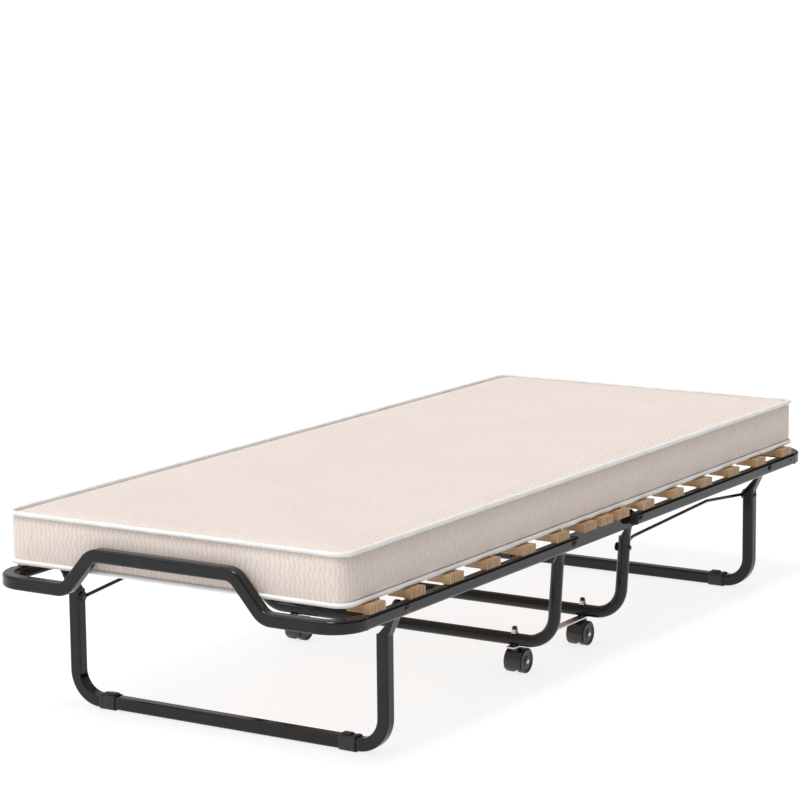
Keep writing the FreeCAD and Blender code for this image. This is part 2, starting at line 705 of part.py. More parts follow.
def linkage_rod(end, turn):
    """The rod that keeps a leg upright: a parallelogram with the half frame."""
    z = size("rail_axis_z") - size("link_drop")
    thick = size("rod_eye_thick")
    inner_face = size("leg_post_y") - size("square_tube") / 2
    leg_eye_y = inner_face - 0.4 - thick / 2
    neck_z = size("rail_axis_z") - size("caster_neck_drop")
    reach = (neck_z - z) / (neck_z - size("run_axis_z"))
    leg_y = size("caster_leg_top_y") - reach * (size("caster_leg_top_y") - size("caster_leg_low_y"))
    anchor_eye_y = leg_y - size("caster_tube_dia") / 2 - 0.8 - thick / 2
    lean = 2.0
    anchor = Vector(-size("pivot_x"), anchor_eye_y - lean, z)
    leg = Vector(-size("leg_x"), leg_eye_y - lean, z)
    slope = size("rod_peak_rise") / (size("rod_peak_x") - size("pivot_x"))
    points = [anchor, anchor + Vector(-50, 0, 50 * slope), Vector(anchor.x - 90, leg.y, z + 90 * slope),
              Vector(-size("rod_peak_x"), leg.y, z + size("rod_peak_rise")), leg]
    wire = path_through(points, [60, 60, 60])
    shape = tube_along(wire, size("rod_dia") / 2, None)
    for point in (anchor, leg):
        eye = Part.makeCylinder(size("rod_eye_dia") / 2, thick,
                                Vector(point.x, point.y + lean - thick / 2, z), ACROSS)
        shape = shape.fuse(eye)
    for point in (anchor, leg):
        clear = Part.makeBox(2 * size("rod_eye_dia"), 20, 2 * size("rod_eye_dia"),
                             Vector(point.x - size("rod_eye_dia"), point.y + lean + thick / 2,
                                    z - size("rod_eye_dia")))
        behind = Part.makeCylinder(size("rod_eye_dia") / 2 + 0.5, 20,
                                   Vector(point.x, point.y + lean - thick / 2 - 20, z), ACROSS)
        hole = Part.makeCylinder(size("pin_hole_dia") / 2 + 0.05, 40,
                                 Vector(point.x, point.y - 20, z), ACROSS)
        shape = shape.cut(clear).cut(behind).cut(hole)
    return keep(solid("%s_linkage_rod" % end, shape), "%s_linkage_rod" % end, turn)


def rod_pin(name, x, post_y, eye_far_y, tube):
    """A rivet through a tube and a rod's eye, with a head at each side."""
    z = size("rail_axis_z") - size("link_drop")
    outer = post_y + size(tube) / 2 + 0.3
    shank = doc.addObject("Part::Cylinder", name + "_shank")
    bind(shank, Radius="sizes.pin_dia / 2")
    shank.Height = outer - eye_far_y
    shank.Placement = Placement(Vector(x, eye_far_y, z), Rotation(UP, ACROSS))
    head = doc.addObject("Part::Cone", name + "_head")
    bind(head, Radius1="sizes.pin_dia", Radius2="sizes.pin_dia * 0.5", Height="sizes.pin_dia * 0.5")
    head.Placement = Placement(Vector(x, outer, z), Rotation(UP, ACROSS))
    tail = doc.addObject("Part::Cone", name + "_tail")
    bind(tail, Radius1="sizes.pin_dia", Radius2="sizes.pin_dia * 0.5", Height="sizes.pin_dia * 0.5")
    tail.Placement = Placement(Vector(x, eye_far_y, z), Rotation(UP, -ACROSS))
    return fuse(name, [shank, head, tail])


def rod_pins(end, turn):
    """The pin at a rod's leg end; it belongs to the leg."""
    inner_face = size("leg_post_y") - size("square_tube") / 2
    pin = rod_pin("%s_rod_pin" % end, -size("leg_x"), size("leg_post_y"),
                  inner_face - 0.8 - size("rod_eye_thick"), "square_tube")
    return keep(pin, "%s_rod_pin" % end, turn)


def rod_anchor_pins():
    """The pins at both rods' caster tube ends."""
    pins = []
    z = size("rail_axis_z") - size("link_drop")
    neck_z = size("rail_axis_z") - size("caster_neck_drop")
    reach = (neck_z - z) / (neck_z - size("run_axis_z"))
    leg_y = size("caster_leg_top_y") - reach * (size("caster_leg_top_y") - size("caster_leg_low_y"))
    for end, turn in ENDS:
        inner_face = leg_y - size("caster_tube_dia") / 2
        pin = rod_pin("%s_anchor_pin" % end, -size("pivot_x"), leg_y + 0.4,
                      inner_face - 1.2 - size("rod_eye_thick"), "caster_tube_dia")
        pin.Placement = turn
        pins.append(pin)
    return keep(group("rod_anchor_pins", pins), "rod_anchor_pins")


# ------------------------------------------------------------- casters

def caster(where, x_sign, side):
    """A hooded twin-wheel caster; its wheels trail towards the middle of the bed."""
    radius = "sizes.wheel_dia / 2"
    axle_x = x_sign * (size("pivot_x") - size("caster_trail"))
    axle_y = side * size("caster_y")
    axle_z = size("wheel_dia") / 2
    axle_at = (axle_x, axle_y, axle_z)
    offset = (size("wheel_gap") + size("wheel_wide")) / 2

    wheels = []
    for hand in (-1, 1):
        name = "wheel_%s_%s" % (where, "inner" if hand * side < 0 else "outer")
        disc = rod(name + "_disc", (0, 1, 0), (axle_x, axle_y + hand * offset, axle_z), radius,
                   "sizes.wheel_wide")
        tyre = doc.addObject("Part::Fillet", name)
        tyre.Base = disc
        tyre.Edges = [(1, 2.5, 2.5), (3, 2.5, 2.5)]
        boss = rod(name + "_boss", (0, 1, 0),
                   (axle_x, axle_y + hand * (offset + size("wheel_wide") / 2), axle_z), "5", "2")
        wheels += [tyre, boss]
    axle = rod("axle_" + where, (0, 1, 0), axle_at, "sizes.axle_dia / 2",
               "sizes.wheel_gap + sizes.wheel_wide")
    keep(fuse("caster_wheels_" + where, wheels + [axle]), "caster_wheels_" + where)

    cover_out = rod("hood_out_" + where, (0, 1, 0), axle_at, radius + " + sizes.hood_gap + sizes.hood_wall",
                    "sizes.wheel_gap + 2 * sizes.wheel_wide - 4")
    cover_in = rod("hood_in_" + where, (0, 1, 0), axle_at, radius + " + sizes.hood_gap", "90")
    web = rod("hood_web_" + where, (0, 1, 0), axle_at, radius + " + sizes.hood_gap + 0.5",
              "sizes.wheel_gap - 1")
    shell = cut("hood_shell_" + where, cover_out, [cover_in])
    boss = rod("hood_boss_" + where, (0, 0, 1), (x_sign * size("pivot_x"), axle_y, 50.2), "8", "4")
    bore = rod("hood_bore_" + where, (0, 0, 1), (x_sign * size("pivot_x"), axle_y, 46),
               "sizes.bolt_dia / 2 + 0.05", "20.1")
    axle_hole = rod("hood_axle_hole_" + where, (0, 1, 0), axle_at, "sizes.axle_dia / 2 + 0.06", "40")
    trimmed = cut("hood_trim_" + where, shell, [space_under("hood_below_" + where, axle_x, axle_y, 10)])
    web_cut = cut("web_trim_" + where, web, [space_under("web_below_" + where, axle_x, axle_y, 14)])
    hood = cut("caster_hood_" + where, fuse("hood_body_" + where, [trimmed, web_cut, boss]),
               [bore, axle_hole])
    keep(hood, "caster_hood_" + where)


def space_under(name, axle_x, axle_y, top_z):
    """The space under a caster's cover or web, up to a height over the floor."""
    block = doc.addObject("Part::Box", name)
    bind(block, Length="90", Width="90", Height="40")
    block.Placement = Placement(Vector(axle_x - 45, axle_y - 45, top_z - 40), Rotation())
    return block


# ------------------------------------------------------------ mattress

def mattress_part(label, low_x, high_x):
    """A length of the mattress, cut from the whole slab by two planes across the bed."""
    slab = bar(label + "_slab", "XY_Plane", "sizes.mattress_length", "sizes.mattress_width",
               "sizes.mattress_corner", "sizes.mattress_thick")
    slab.Placement = Placement(Vector(0, 0, size("mattress_bottom_z")), Rotation())
    window = doc.addObject("Part::Box", label + "_window")
    window.Length = high_x - low_x
    window.Width = size("bed_width") + 100
    window.Height = 400
    window.Placement = Placement(Vector(low_x, -size("bed_width") / 2 - 50, 200), Rotation())
    result = doc.addObject("Part::Common", label)
    result.Base = slab
    result.Tool = window
    return keep(result, label)


for end_name, end_turn in ENDS:
    for rail_side in (1, -1):
        side_rail(end_name, end_turn, rail_side)
    rail_plugs(end_name, end_turn)
    end_hoop(end_name, end_turn)
    joint_screws(end_name, end_turn)
    half_slats(end_name, end_turn)
    leg_pivot_bolts(end_name, end_turn)
    leg_tube(end_name, end_turn)
    foot_clips(end_name, end_turn)
    linkage_rod(end_name, end_turn)
    rod_pins(end_name, end_turn)
    caster_tube(end_name, end_turn)

for plate_side in (1, -1):
    centre_rail(plate_side)
    caster_strap(plate_side)
centre_slats()
hinge_bolts()
caster_studs()
rod_anchor_pins()
for caster_place in CASTERS:
    caster(*caster_place)

bend_x = size("mattress_bend_x")
gap = 0.4
far_away = size("bed_length")
mattress_part("near_mattress", -far_away, -bend_x)
mattress_part("mattress_centre", -bend_x + gap, bend_x - gap)
mattress_part("far_mattress", bend_x, far_away)

doc.recompute()

faults = []
for obj in doc.Objects:
    if "Invalid" in obj.State or "Error" in obj.State:
        faults.append("%s: %s" % (obj.Label, obj.State))
for node in nodes:
    if node.Shape.isNull() or not node.Shape.isValid() or not node.Shape.Solids:
        faults.append("%s: bad shape" % node.Label)
if faults:
    raise SystemExit("\n".join(faults))

os.makedirs("parts", exist_ok=True)
for node in nodes:
    node.Shape.exportStep(os.path.join("parts", node.Label + ".step"))
print("%d sub-parts" % len(nodes))
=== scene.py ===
"""A folding rollaway bed: its foam mattress, casters, fittings and finishes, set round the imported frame."""
import json
import logging
import math
from dataclasses import dataclass, field
from enum import Enum
from typing import Callable, Sequence

import bmesh
import bpy
from mathutils import Matrix, Vector


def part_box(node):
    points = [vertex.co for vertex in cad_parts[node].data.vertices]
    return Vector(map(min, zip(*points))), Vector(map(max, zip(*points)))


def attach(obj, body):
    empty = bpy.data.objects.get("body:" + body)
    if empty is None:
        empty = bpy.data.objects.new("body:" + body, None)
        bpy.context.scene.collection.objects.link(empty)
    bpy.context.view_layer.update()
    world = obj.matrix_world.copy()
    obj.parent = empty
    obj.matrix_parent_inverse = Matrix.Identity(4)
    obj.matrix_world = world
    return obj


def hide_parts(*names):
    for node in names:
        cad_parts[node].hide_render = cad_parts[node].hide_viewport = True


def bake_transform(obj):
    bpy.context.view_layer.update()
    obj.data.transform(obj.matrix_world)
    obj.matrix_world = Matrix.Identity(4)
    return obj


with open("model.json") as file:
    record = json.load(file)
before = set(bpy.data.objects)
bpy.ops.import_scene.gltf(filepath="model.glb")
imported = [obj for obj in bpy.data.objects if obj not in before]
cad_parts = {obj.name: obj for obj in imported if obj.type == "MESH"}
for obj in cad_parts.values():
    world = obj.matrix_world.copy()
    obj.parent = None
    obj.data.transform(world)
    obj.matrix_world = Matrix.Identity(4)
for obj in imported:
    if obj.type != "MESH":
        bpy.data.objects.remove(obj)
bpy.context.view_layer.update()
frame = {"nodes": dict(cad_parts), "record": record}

MM = 0.001
Colour = tuple[float, float, float]
log = logging.getLogger("rollaway_bed")


class End(Enum):
    """The two halves of the bed; the value is the sign of X there."""

    NEAR = -1
    FAR = 1

    @property
    def label(self) -> str:
        """The word that starts this end's node names."""
        return self.name.lower()


class Side(Enum):
    """The two long sides of the bed; the value is the sign of Y there."""

    LEFT = 1
    RIGHT = -1

    @property
    def label(self) -> str:
        """The word that ends this side's node names."""
        return self.name.lower()


# ------------------------------------------------------------------ bench work

def put_down() -> None:
    """Leave edit mode and deselect everything."""
    if bpy.context.object is not None and bpy.context.object.mode != "OBJECT":
        bpy.ops.object.mode_set(mode="OBJECT")
    bpy.ops.object.select_all(action="DESELECT")


def pick_up(*pieces: bpy.types.Object) -> None:
    """Select just these pieces, the last one active.

    Args:
        pieces: The objects to select.
    """
    put_down()
    for piece in pieces:
        piece.select_set(True)
    bpy.context.view_layer.objects.active = pieces[-1]


def block(name: str, size: Sequence[float], centre: Sequence[float]) -> bpy.types.Object:
    """Add a block of a size at a place, both held in its mesh.

    Args:
        name: The piece's name.
        size: Its three sides, in metres.
        centre: Its middle.

    Returns:
        The new object, at the origin.
    """
    put_down()
    bpy.ops.mesh.primitive_cube_add(size=1.0, location=centre, scale=size)
    return settled(name)


def drum(name: str, radius: float, length: float, centre: Sequence[float], axis: str = "Y",
         sides: int = 48) -> bpy.types.Object:
    """Add a cylinder along one axis, its place held in its mesh.

    Args:
        name: The piece's name.
        radius: Its radius.
        length: Its length along the axis.
        centre: Its middle.
        axis: X, Y or Z.
        sides: How many sides it has.

    Returns:
        The new object, at the origin.
    """
    put_down()
    turn = {"X": (0, math.pi / 2, 0), "Y": (math.pi / 2, 0, 0), "Z": (0, 0, 0)}[axis]
    bpy.ops.mesh.primitive_cylinder_add(vertices=sides, radius=radius, depth=length,
                                        location=centre, rotation=turn)
    return settled(name)


def settled(name: str) -> bpy.types.Object:
    """Name the active object and move its place, turn and size into its mesh."""
    piece = bpy.context.object
    piece.name = name
    piece.data.name = name
    bpy.ops.object.transform_apply(location=True, rotation=True, scale=True)
    return piece


def choose_faces(piece: bpy.types.Object, test: Callable[[Vector, Vector], bool]) -> int:
    """Open a piece in edit mode with only some faces selected.

    Args:
        piece: The piece to open.
        test: Says whether a face with this centre and normal is wanted.

    Returns:
        How many faces are selected.
    """
    pick_up(piece)
    bpy.ops.object.mode_set(mode="EDIT")
    bpy.ops.mesh.select_mode(type="FACE")
    bpy.ops.mesh.select_all(action="DESELECT")
    mesh = bmesh.from_edit_mesh(piece.data)
    count = 0
    for face in mesh.faces:
        if test(face.calc_center_median(), face.normal):
            face.select_set(True)
            count += 1
    bmesh.update_edit_mesh(piece.data)
    return count


def choose_edges(piece: bpy.types.Object, test: Callable[[Vector, Vector], bool]) -> int:
    """Open a piece in edit mode with only some edges selected.

    Args:
        piece: The piece to open.
        test: Says whether an edge between these two points is wanted.

    Returns:
        How many edges are selected.
    """
    pick_up(piece)
    bpy.ops.object.mode_set(mode="EDIT")
    bpy.ops.mesh.select_mode(type="EDGE")
    bpy.ops.mesh.select_all(action="DESELECT")
    mesh = bmesh.from_edit_mesh(piece.data)
    count = 0
    for edge in mesh.edges:
        if test(edge.verts[0].co, edge.verts[1].co):
            edge.select_set(True)
            count += 1
    bmesh.update_edit_mesh(piece.data)
    return count


def step_face(depth: float, margin: float) -> None:
    """Inset the selected faces by a margin, then push them along their normal by a depth."""
    bpy.ops.mesh.inset(thickness=margin, depth=depth)


def round_edges(piece: bpy.types.Object, width: float, segments: int = 2, angle: float = 40.0) -> None:
    """Round a piece's sharp edges and apply it.

    Args:
        piece: The piece to round.
        width: The width of the rounding.
        segments: How many steps it has.
        angle: The least angle between faces, in degrees, that counts as sharp.
    """
    pick_up(piece)
    bevel = piece.modifiers.new("rounding", "BEVEL")
    bevel.width = width
    bevel.segments = segments
    bevel.limit_method = "ANGLE"
    bevel.angle_limit = math.radians(angle)
    bpy.ops.object.modifier_apply(modifier=bevel.name)


def smooth(piece: bpy.types.Object, angle: float = 38.0) -> None:
    """Shade a piece smooth, with a crease wherever faces meet at more than an angle."""
    pick_up(piece)
    bpy.ops.object.shade_smooth_by_angle(angle=math.radians(angle))
    put_down()


def face_outwards(piece: bpy.types.Object) -> None:
    """Merge a piece's doubles and turn all its faces outwards."""
    pick_up(piece)
    bpy.ops.object.mode_set(mode="EDIT")
    bpy.ops.mesh.select_all(action="SELECT")
    bpy.ops.mesh.remove_doubles(threshold=0.00002)
    bpy.ops.mesh.normals_make_consistent(inside=False)
    bpy.ops.object.mode_set(mode="OBJECT")


def cut_off(piece: bpy.types.Object, at: Sequence[float], normal: Sequence[float]) -> None:
    """Cut a piece with a plane, drop what lies on the normal's side and close the cut.

    Args:
        piece: The piece to cut.
        at: A point of the plane.
        normal: The plane's normal.
    """
    pick_up(piece)
    bpy.ops.object.mode_set(mode="EDIT")
    bpy.ops.mesh.select_all(action="SELECT")
    bpy.ops.mesh.bisect(plane_co=at, plane_no=normal, use_fill=True, clear_outer=True)
    bpy.ops.object.mode_set(mode="OBJECT")


def joined(name: str, pieces: Sequence[bpy.types.Object]) -> bpy.types.Object:
    """Join pieces into one, the first giving its material slots first.

    Args:
        name: The name of the result.
        pieces: The pieces to join.

    Returns:
        The joined piece.
    """
    put_down()
    for piece in pieces:
        piece.select_set(True)
    bpy.context.view_layer.objects.active = pieces[0]
    bpy.ops.object.join()
    result = bpy.context.object
    result.name = name
    result.data.name = name
    put_down()
    return result


def copied(piece: bpy.types.Object, name: str, place: Matrix) -> bpy.types.Object:
    """Copy a piece with its own mesh, moved by a matrix that is applied to the mesh.

    Args:
        piece: The piece to copy.
        name: The copy's name.
        place: Where the copy goes, relative to the piece.

    Returns:
        The copy, at the origin.
    """
    pick_up(piece)
    bpy.ops.object.duplicate()
    copy = bpy.context.object
    copy.name = name
    copy.data.name = name
    copy.data.transform(place)
    put_down()
    return copy


# ------------------------------------------------------------------- finishes

class Graph:
    """A material's node graph, with short calls for the nodes that the finishes share."""

    def __init__(self, name: str) -> None:
        """Start a material with one shader and one output."""
        self.material = bpy.data.materials.new(name)
        self.material.use_nodes = True
        self.nodes = self.material.node_tree.nodes
        self.links = self.material.node_tree.links
        self.shader = self.nodes["Principled BSDF"]

    def node(self, kind: str, **values: object) -> bpy.types.Node:
        """Add a node and set its properties."""
        made = self.nodes.new(kind)
        for key, value in values.items():
            setattr(made, key, value)
        return made

    def join(self, source: bpy.types.NodeSocket, target: bpy.types.NodeSocket) -> None:
        """Link an output to an input."""
        self.links.new(source, target)

    def coordinates(self, scale: Sequence[float], use_uv: bool = False) -> bpy.types.NodeSocket:
        """Object or UV coordinates, stretched by a scale.

        Args:
            scale: Repeats per metre along each axis.
            use_uv: Whether the pattern follows the surface.

        Returns:
            The scaled vector.
        """
        source = self.node("ShaderNodeTexCoord").outputs["UV" if use_uv else "Object"]
        mapping = self.node("ShaderNodeMapping")
        mapping.inputs["Scale"].default_value = scale
        self.join(source, mapping.inputs["Vector"])
        return mapping.outputs["Vector"]

    def noise(self, vector: bpy.types.NodeSocket, scale: float = 1.0, detail: float = 2.0,
              roughness: float = 0.5, distortion: float = 0.0) -> bpy.types.NodeSocket:
        """A noise pattern.

        Args:
            vector: The coordinates.
            scale: Its fineness.
            detail: How many octaves.
            roughness: How strong the fine octaves are.
            distortion: How far it is warped.

        Returns:
            Its value.
        """
        made = self.node("ShaderNodeTexNoise")
        made.inputs["Scale"].default_value = scale
        made.inputs["Detail"].default_value = detail
        made.inputs["Roughness"].default_value = roughness
        made.inputs["Distortion"].default_value = distortion
        self.join(vector, made.inputs["Vector"])
        return made.outputs["Fac"]

    def ramp(self, value: bpy.types.NodeSocket,
             stops: Sequence[tuple[float, Colour]]) -> bpy.types.NodeSocket:
        """Colours along a value.

        Args:
            value: From 0 to 1.
            stops: Places and their colours.

        Returns:
            The colour.
        """
        made = self.node("ShaderNodeValToRGB")
        elements = made.color_ramp.elements
        while len(elements) < len(stops):
            elements.new(0.5)
        for element, (place, colour) in zip(elements, stops):
            element.position = place
            element.color = (*colour, 1.0)
        self.join(value, made.inputs["Fac"])
        return made.outputs["Color"]

    def span(self, value: bpy.types.NodeSocket, low: float, high: float,
             start: float = 0.0, end: float = 1.0) -> bpy.types.NodeSocket:
        """A value mapped from one range to another, clamped."""
        made = self.node("ShaderNodeMapRange")
        made.inputs["From Min"].default_value = start
        made.inputs["From Max"].default_value = end
        made.inputs["To Min"].default_value = low
        made.inputs["To Max"].default_value = high
        self.join(value, made.inputs["Value"])
        return made.outputs["Result"]

    def sums(self, kind: str, first: bpy.types.NodeSocket, second: bpy.types.NodeSocket | float,
             third: float = 0.0) -> bpy.types.NodeSocket:
        """A sum, product or other arithmetic of two or three values."""
        made = self.node("ShaderNodeMath", operation=kind)
        self.join(first, made.inputs[0])
        if isinstance(second, (int, float)):
            made.inputs[1].default_value = second
        else:
            self.join(second, made.inputs[1])
        made.inputs[2].default_value = third
        return made.outputs[0]

    def bump(self, height: bpy.types.NodeSocket, strength: float, distance: float,
             under: bpy.types.NodeSocket | None = None) -> bpy.types.NodeSocket:
        """A bumped normal.

        Args:
            height: The pattern's height.
            strength: From 0 to 1.
            distance: The height of a full step, in metres.
            under: A coarser bump under this one.

        Returns:
            The normal.
        """
        made = self.node("ShaderNodeBump")
        made.inputs["Strength"].default_value = strength
        made.inputs["Distance"].default_value = distance
        self.join(height, made.inputs["Height"])
        if under is not None:
            self.join(under, made.inputs["Normal"])
        return made.outputs["Normal"]

    def set(self, **values: object) -> None:
        """Set the shader's own sockets; an underscore in a name stands for a space."""
        for key, value in values.items():
            self.shader.inputs[key.replace("_", " ")].default_value = value


@dataclass(frozen=True)
class Enamel:
    """Baked black enamel on steel tube: deep gloss, faint orange peel, rubbed patches."""

    dark: Colour = (0.0045, 0.0048, 0.0052)
    pale: Colour = (0.0085, 0.0090, 0.0098)
    gloss: tuple[float, float] = (0.08, 0.15)

    def make(self) -> bpy.types.Material:
        """The enamel's material."""
        g = Graph("black_enamel_gloss")
        place = g.coordinates((1, 1, 1))
        cloud = g.noise(place, scale=14, detail=4)
        peel = g.noise(place, scale=900, detail=1)
        g.join(g.ramp(cloud, ((0.35, self.dark), (0.7, self.pale))), g.shader.inputs["Base Color"])
        g.join(g.span(cloud, *self.gloss, start=0.3, end=0.7), g.shader.inputs["Roughness"])
        g.join(g.bump(peel, 0.06, 0.0002), g.shader.inputs["Normal"])
        g.set(Specular_IOR_Level=0.36)
        return g.material


@dataclass(frozen=True)
class BrightZinc:
    """Bright zinc plate: pale metal with faint rolling lines and dull patches."""

    name: str = "bright_zinc"
    dark: Colour = (0.52, 0.52, 0.53)
    pale: Colour = (0.80, 0.80, 0.81)
    gloss: tuple[float, float] = (0.22, 0.38)

    def make(self) -> bpy.types.Material:
        """The zinc's material."""
        g = Graph(self.name)
        cloud = g.noise(g.coordinates((1, 1, 1)), scale=60, detail=4)
        lines = g.noise(g.coordinates((6, 900, 900)), detail=2)
        g.join(g.ramp(cloud, ((0.3, self.dark), (0.75, self.pale))), g.shader.inputs["Base Color"])
        g.join(g.span(cloud, *self.gloss), g.shader.inputs["Roughness"])
        g.join(g.bump(lines, 0.08, 0.0002), g.shader.inputs["Normal"])
        g.set(Metallic=1.0)
        return g.material


@dataclass(frozen=True)
class Moulded:
    """A moulded plastic with a fine grain."""

    name: str
    dark: Colour
    pale: Colour
    gloss: tuple[float, float] = (0.35, 0.5)
    grain: float = 0.08
    coat: float = 0.0

    def make(self) -> bpy.types.Material:
        """The plastic's material."""
        g = Graph(self.name)
        place = g.coordinates((1, 1, 1))
        cloud = g.noise(place, scale=45, detail=3)
        speck = g.noise(place, scale=1600, detail=2)
        g.join(g.ramp(cloud, ((0.3, self.dark), (0.7, self.pale))), g.shader.inputs["Base Color"])
        g.join(g.span(cloud, *self.gloss), g.shader.inputs["Roughness"])
        g.join(g.bump(speck, self.grain, 0.0002), g.shader.inputs["Normal"])
        g.set(Coat_Weight=self.coat, Coat_Roughness=0.15)
        return g.material


@dataclass(frozen=True)
class Timber:
    """Lacquered pale laminated wood, its grain along the slats, across the bed."""

    name: str = "slat_timber"
    dark: Colour = (0.40, 0.225, 0.095)
    middle: Colour = (0.54, 0.33, 0.155)
    pale: Colour = (0.66, 0.435, 0.225)
    stretch: tuple[float, float, float] = (60, 3.0, 160)

    def make(self) -> bpy.types.Material:
        """The wood's material."""
        g = Graph(self.name)
        board = g.noise(g.coordinates((11.0, 0.4, 0.4)), detail=0)
        streak = g.noise(g.coordinates(self.stretch), detail=5, roughness=0.6, distortion=0.6)
        pores = g.noise(g.coordinates((900, 40, 900)), detail=2)
        mixed = g.sums("MULTIPLY_ADD", board, 0.35, -0.175)
        grain = g.sums("ADD", streak, mixed)
        g.join(g.ramp(grain, ((0.28, self.dark), (0.5, self.middle), (0.72, self.pale))),
               g.shader.inputs["Base Color"])
        g.join(g.span(streak, 0.38, 0.55), g.shader.inputs["Roughness"])
        g.join(g.bump(pores, 0.15, 0.0003, g.bump(streak, 0.12, 0.0006)), g.shader.inputs["Normal"])
        g.set(Coat_Weight=0.15, Coat_Roughness=0.3)
        return g.material


@dataclass(frozen=True)
class KnitCover:
    """The mattress cover: a soft knit of arched ribs that stand in rows, with painted shade in their hollows
    and painted highlight on their crests.
    """

    # painted shade and painted highlight: the dark end colours the hollows of the ribs and crinkles, the
    # light end their crests; a fifth of the tone is random cloud
    shade: Colour = (0.655, 0.560, 0.505)
    middle: Colour = (0.765, 0.667, 0.608)
    light: Colour = (0.840, 0.747, 0.689)
    row_pitch: float = 0.026
    rib_pitch: float = 0.0105
    arch: float = 0.0042
    wander: float = 0.010

    def ribs(self, g: Graph) -> bpy.types.NodeSocket:
        """The height of the arched ribs.

        Args:
            g: The knit's graph.

        Returns:
            A value from 0, between two ribs, to 1, on top of one.
        """
        apart = g.node("ShaderNodeSeparateXYZ")
        g.join(g.coordinates((1.0, 1.0, 1.0), use_uv=True), apart.inputs["Vector"])
        drift = g.noise(g.coordinates((24, 24, 1), use_uv=True), detail=1)
        row = g.sums("ADD", g.sums("MULTIPLY", apart.outputs["X"], math.pi / self.row_pitch),
                     g.sums("MULTIPLY", drift, 0.8))
        bow = g.sums("MULTIPLY", g.sums("ABSOLUTE", g.sums("SINE", row, 0.0), 0.0), self.arch)
        place = g.sums("ADD", g.sums("ADD", apart.outputs["Y"], bow),
                       g.sums("MULTIPLY", drift, self.wander))
        wave = g.sums("SINE", g.sums("MULTIPLY", place, 2 * math.pi / self.rib_pitch), 0.0)
        return g.span(wave, 0.0, 1.0, -1.0, 0.75)

    def make(self) -> bpy.types.Material:
        """The knit's material."""
        g = Graph("mattress_knit")
        ribs = self.ribs(g)
        crinkle = g.noise(g.coordinates((60, 150, 1), use_uv=True), detail=3, roughness=0.6, distortion=0.4)
        stitch = g.noise(g.coordinates((420, 700, 1), use_uv=True), detail=2)
        cloud = g.noise(g.coordinates((5, 5, 1), use_uv=True), detail=2)
        swell = g.sums("ADD", g.sums("MULTIPLY", ribs, 0.27), g.sums("MULTIPLY", crinkle, 0.73))
        # painted shade in the hollows and painted highlight on the crests, taken from the swell that also
        # drives the bump, mixed with a random cloud of tone
        painted_relief_shade_and_tone = g.sums("ADD", g.sums("MULTIPLY", swell, 0.80), g.sums("MULTIPLY", cloud, 0.20))
        g.join(g.ramp(painted_relief_shade_and_tone, ((0.24, self.shade), (0.48, self.middle), (0.76, self.light))),
               g.shader.inputs["Base Color"])
        coarse = g.bump(swell, 0.42, 0.0014)
        g.join(g.bump(stitch, 0.25, 0.0004, coarse), g.shader.inputs["Normal"])
        g.set(Roughness=0.92, Sheen_Weight=0.25, Sheen_Roughness=0.5, Specular_IOR_Level=0.2)
        return g.material


@dataclass(frozen=True)
class PipingTape:
    """White woven tape over the seams, with the cords of its weave across it, painted darker between the
    cords and lighter on them.
    """

    # painted shade and painted highlight: half the tone follows the weave's bump height, darker between cords
    # and lighter on them; the other half is random cloud
    shade: Colour = (0.74, 0.735, 0.72)
    light: Colour = (0.90, 0.895, 0.88)

    def make(self) -> bpy.types.Material:
        """The tape's material."""
        g = Graph("piping_tape")
        weave = g.noise(g.coordinates((700, 700, 500)), detail=2)
        cloud = g.noise(g.coordinates((24, 24, 24)), detail=2)
        # painted shade between the cords and painted highlight on them, from the weave that drives the bump,
        # mixed half and half with a random cloud
        painted_relief_shade_and_tone = g.sums("ADD", g.sums("MULTIPLY", weave, 0.5), g.sums("MULTIPLY", cloud, 0.5))
        g.join(g.ramp(painted_relief_shade_and_tone, ((0.3, self.shade), (0.6, self.light))), g.shader.inputs["Base Color"])
        g.join(g.bump(weave, 0.3, 0.0004), g.shader.inputs["Normal"])
        g.set(Roughness=0.8, Sheen_Weight=0.2, Specular_IOR_Level=0.25)
        return g.material


@dataclass(frozen=True)
class StudioFloor:
    """A plain pale floor."""

    dark: Colour = (0.24, 0.24, 0.24)
    pale: Colour = (0.26, 0.26, 0.26)
    glow: float = 0.81

    def make(self) -> bpy.types.Material:
        """The floor's material."""
        g = Graph("pale_floor")
        cloud = g.noise(g.coordinates((0.4, 0.4, 0.4)), detail=1)
        g.join(g.ramp(cloud, ((0.3, self.dark), (0.7, self.pale))), g.shader.inputs["Base Color"])
        g.set(Roughness=0.7, Specular_IOR_Level=0.1, Emission_Color=(1.0, 1.0, 1.0, 1.0),
              Emission_Strength=self.glow)
        return g.material


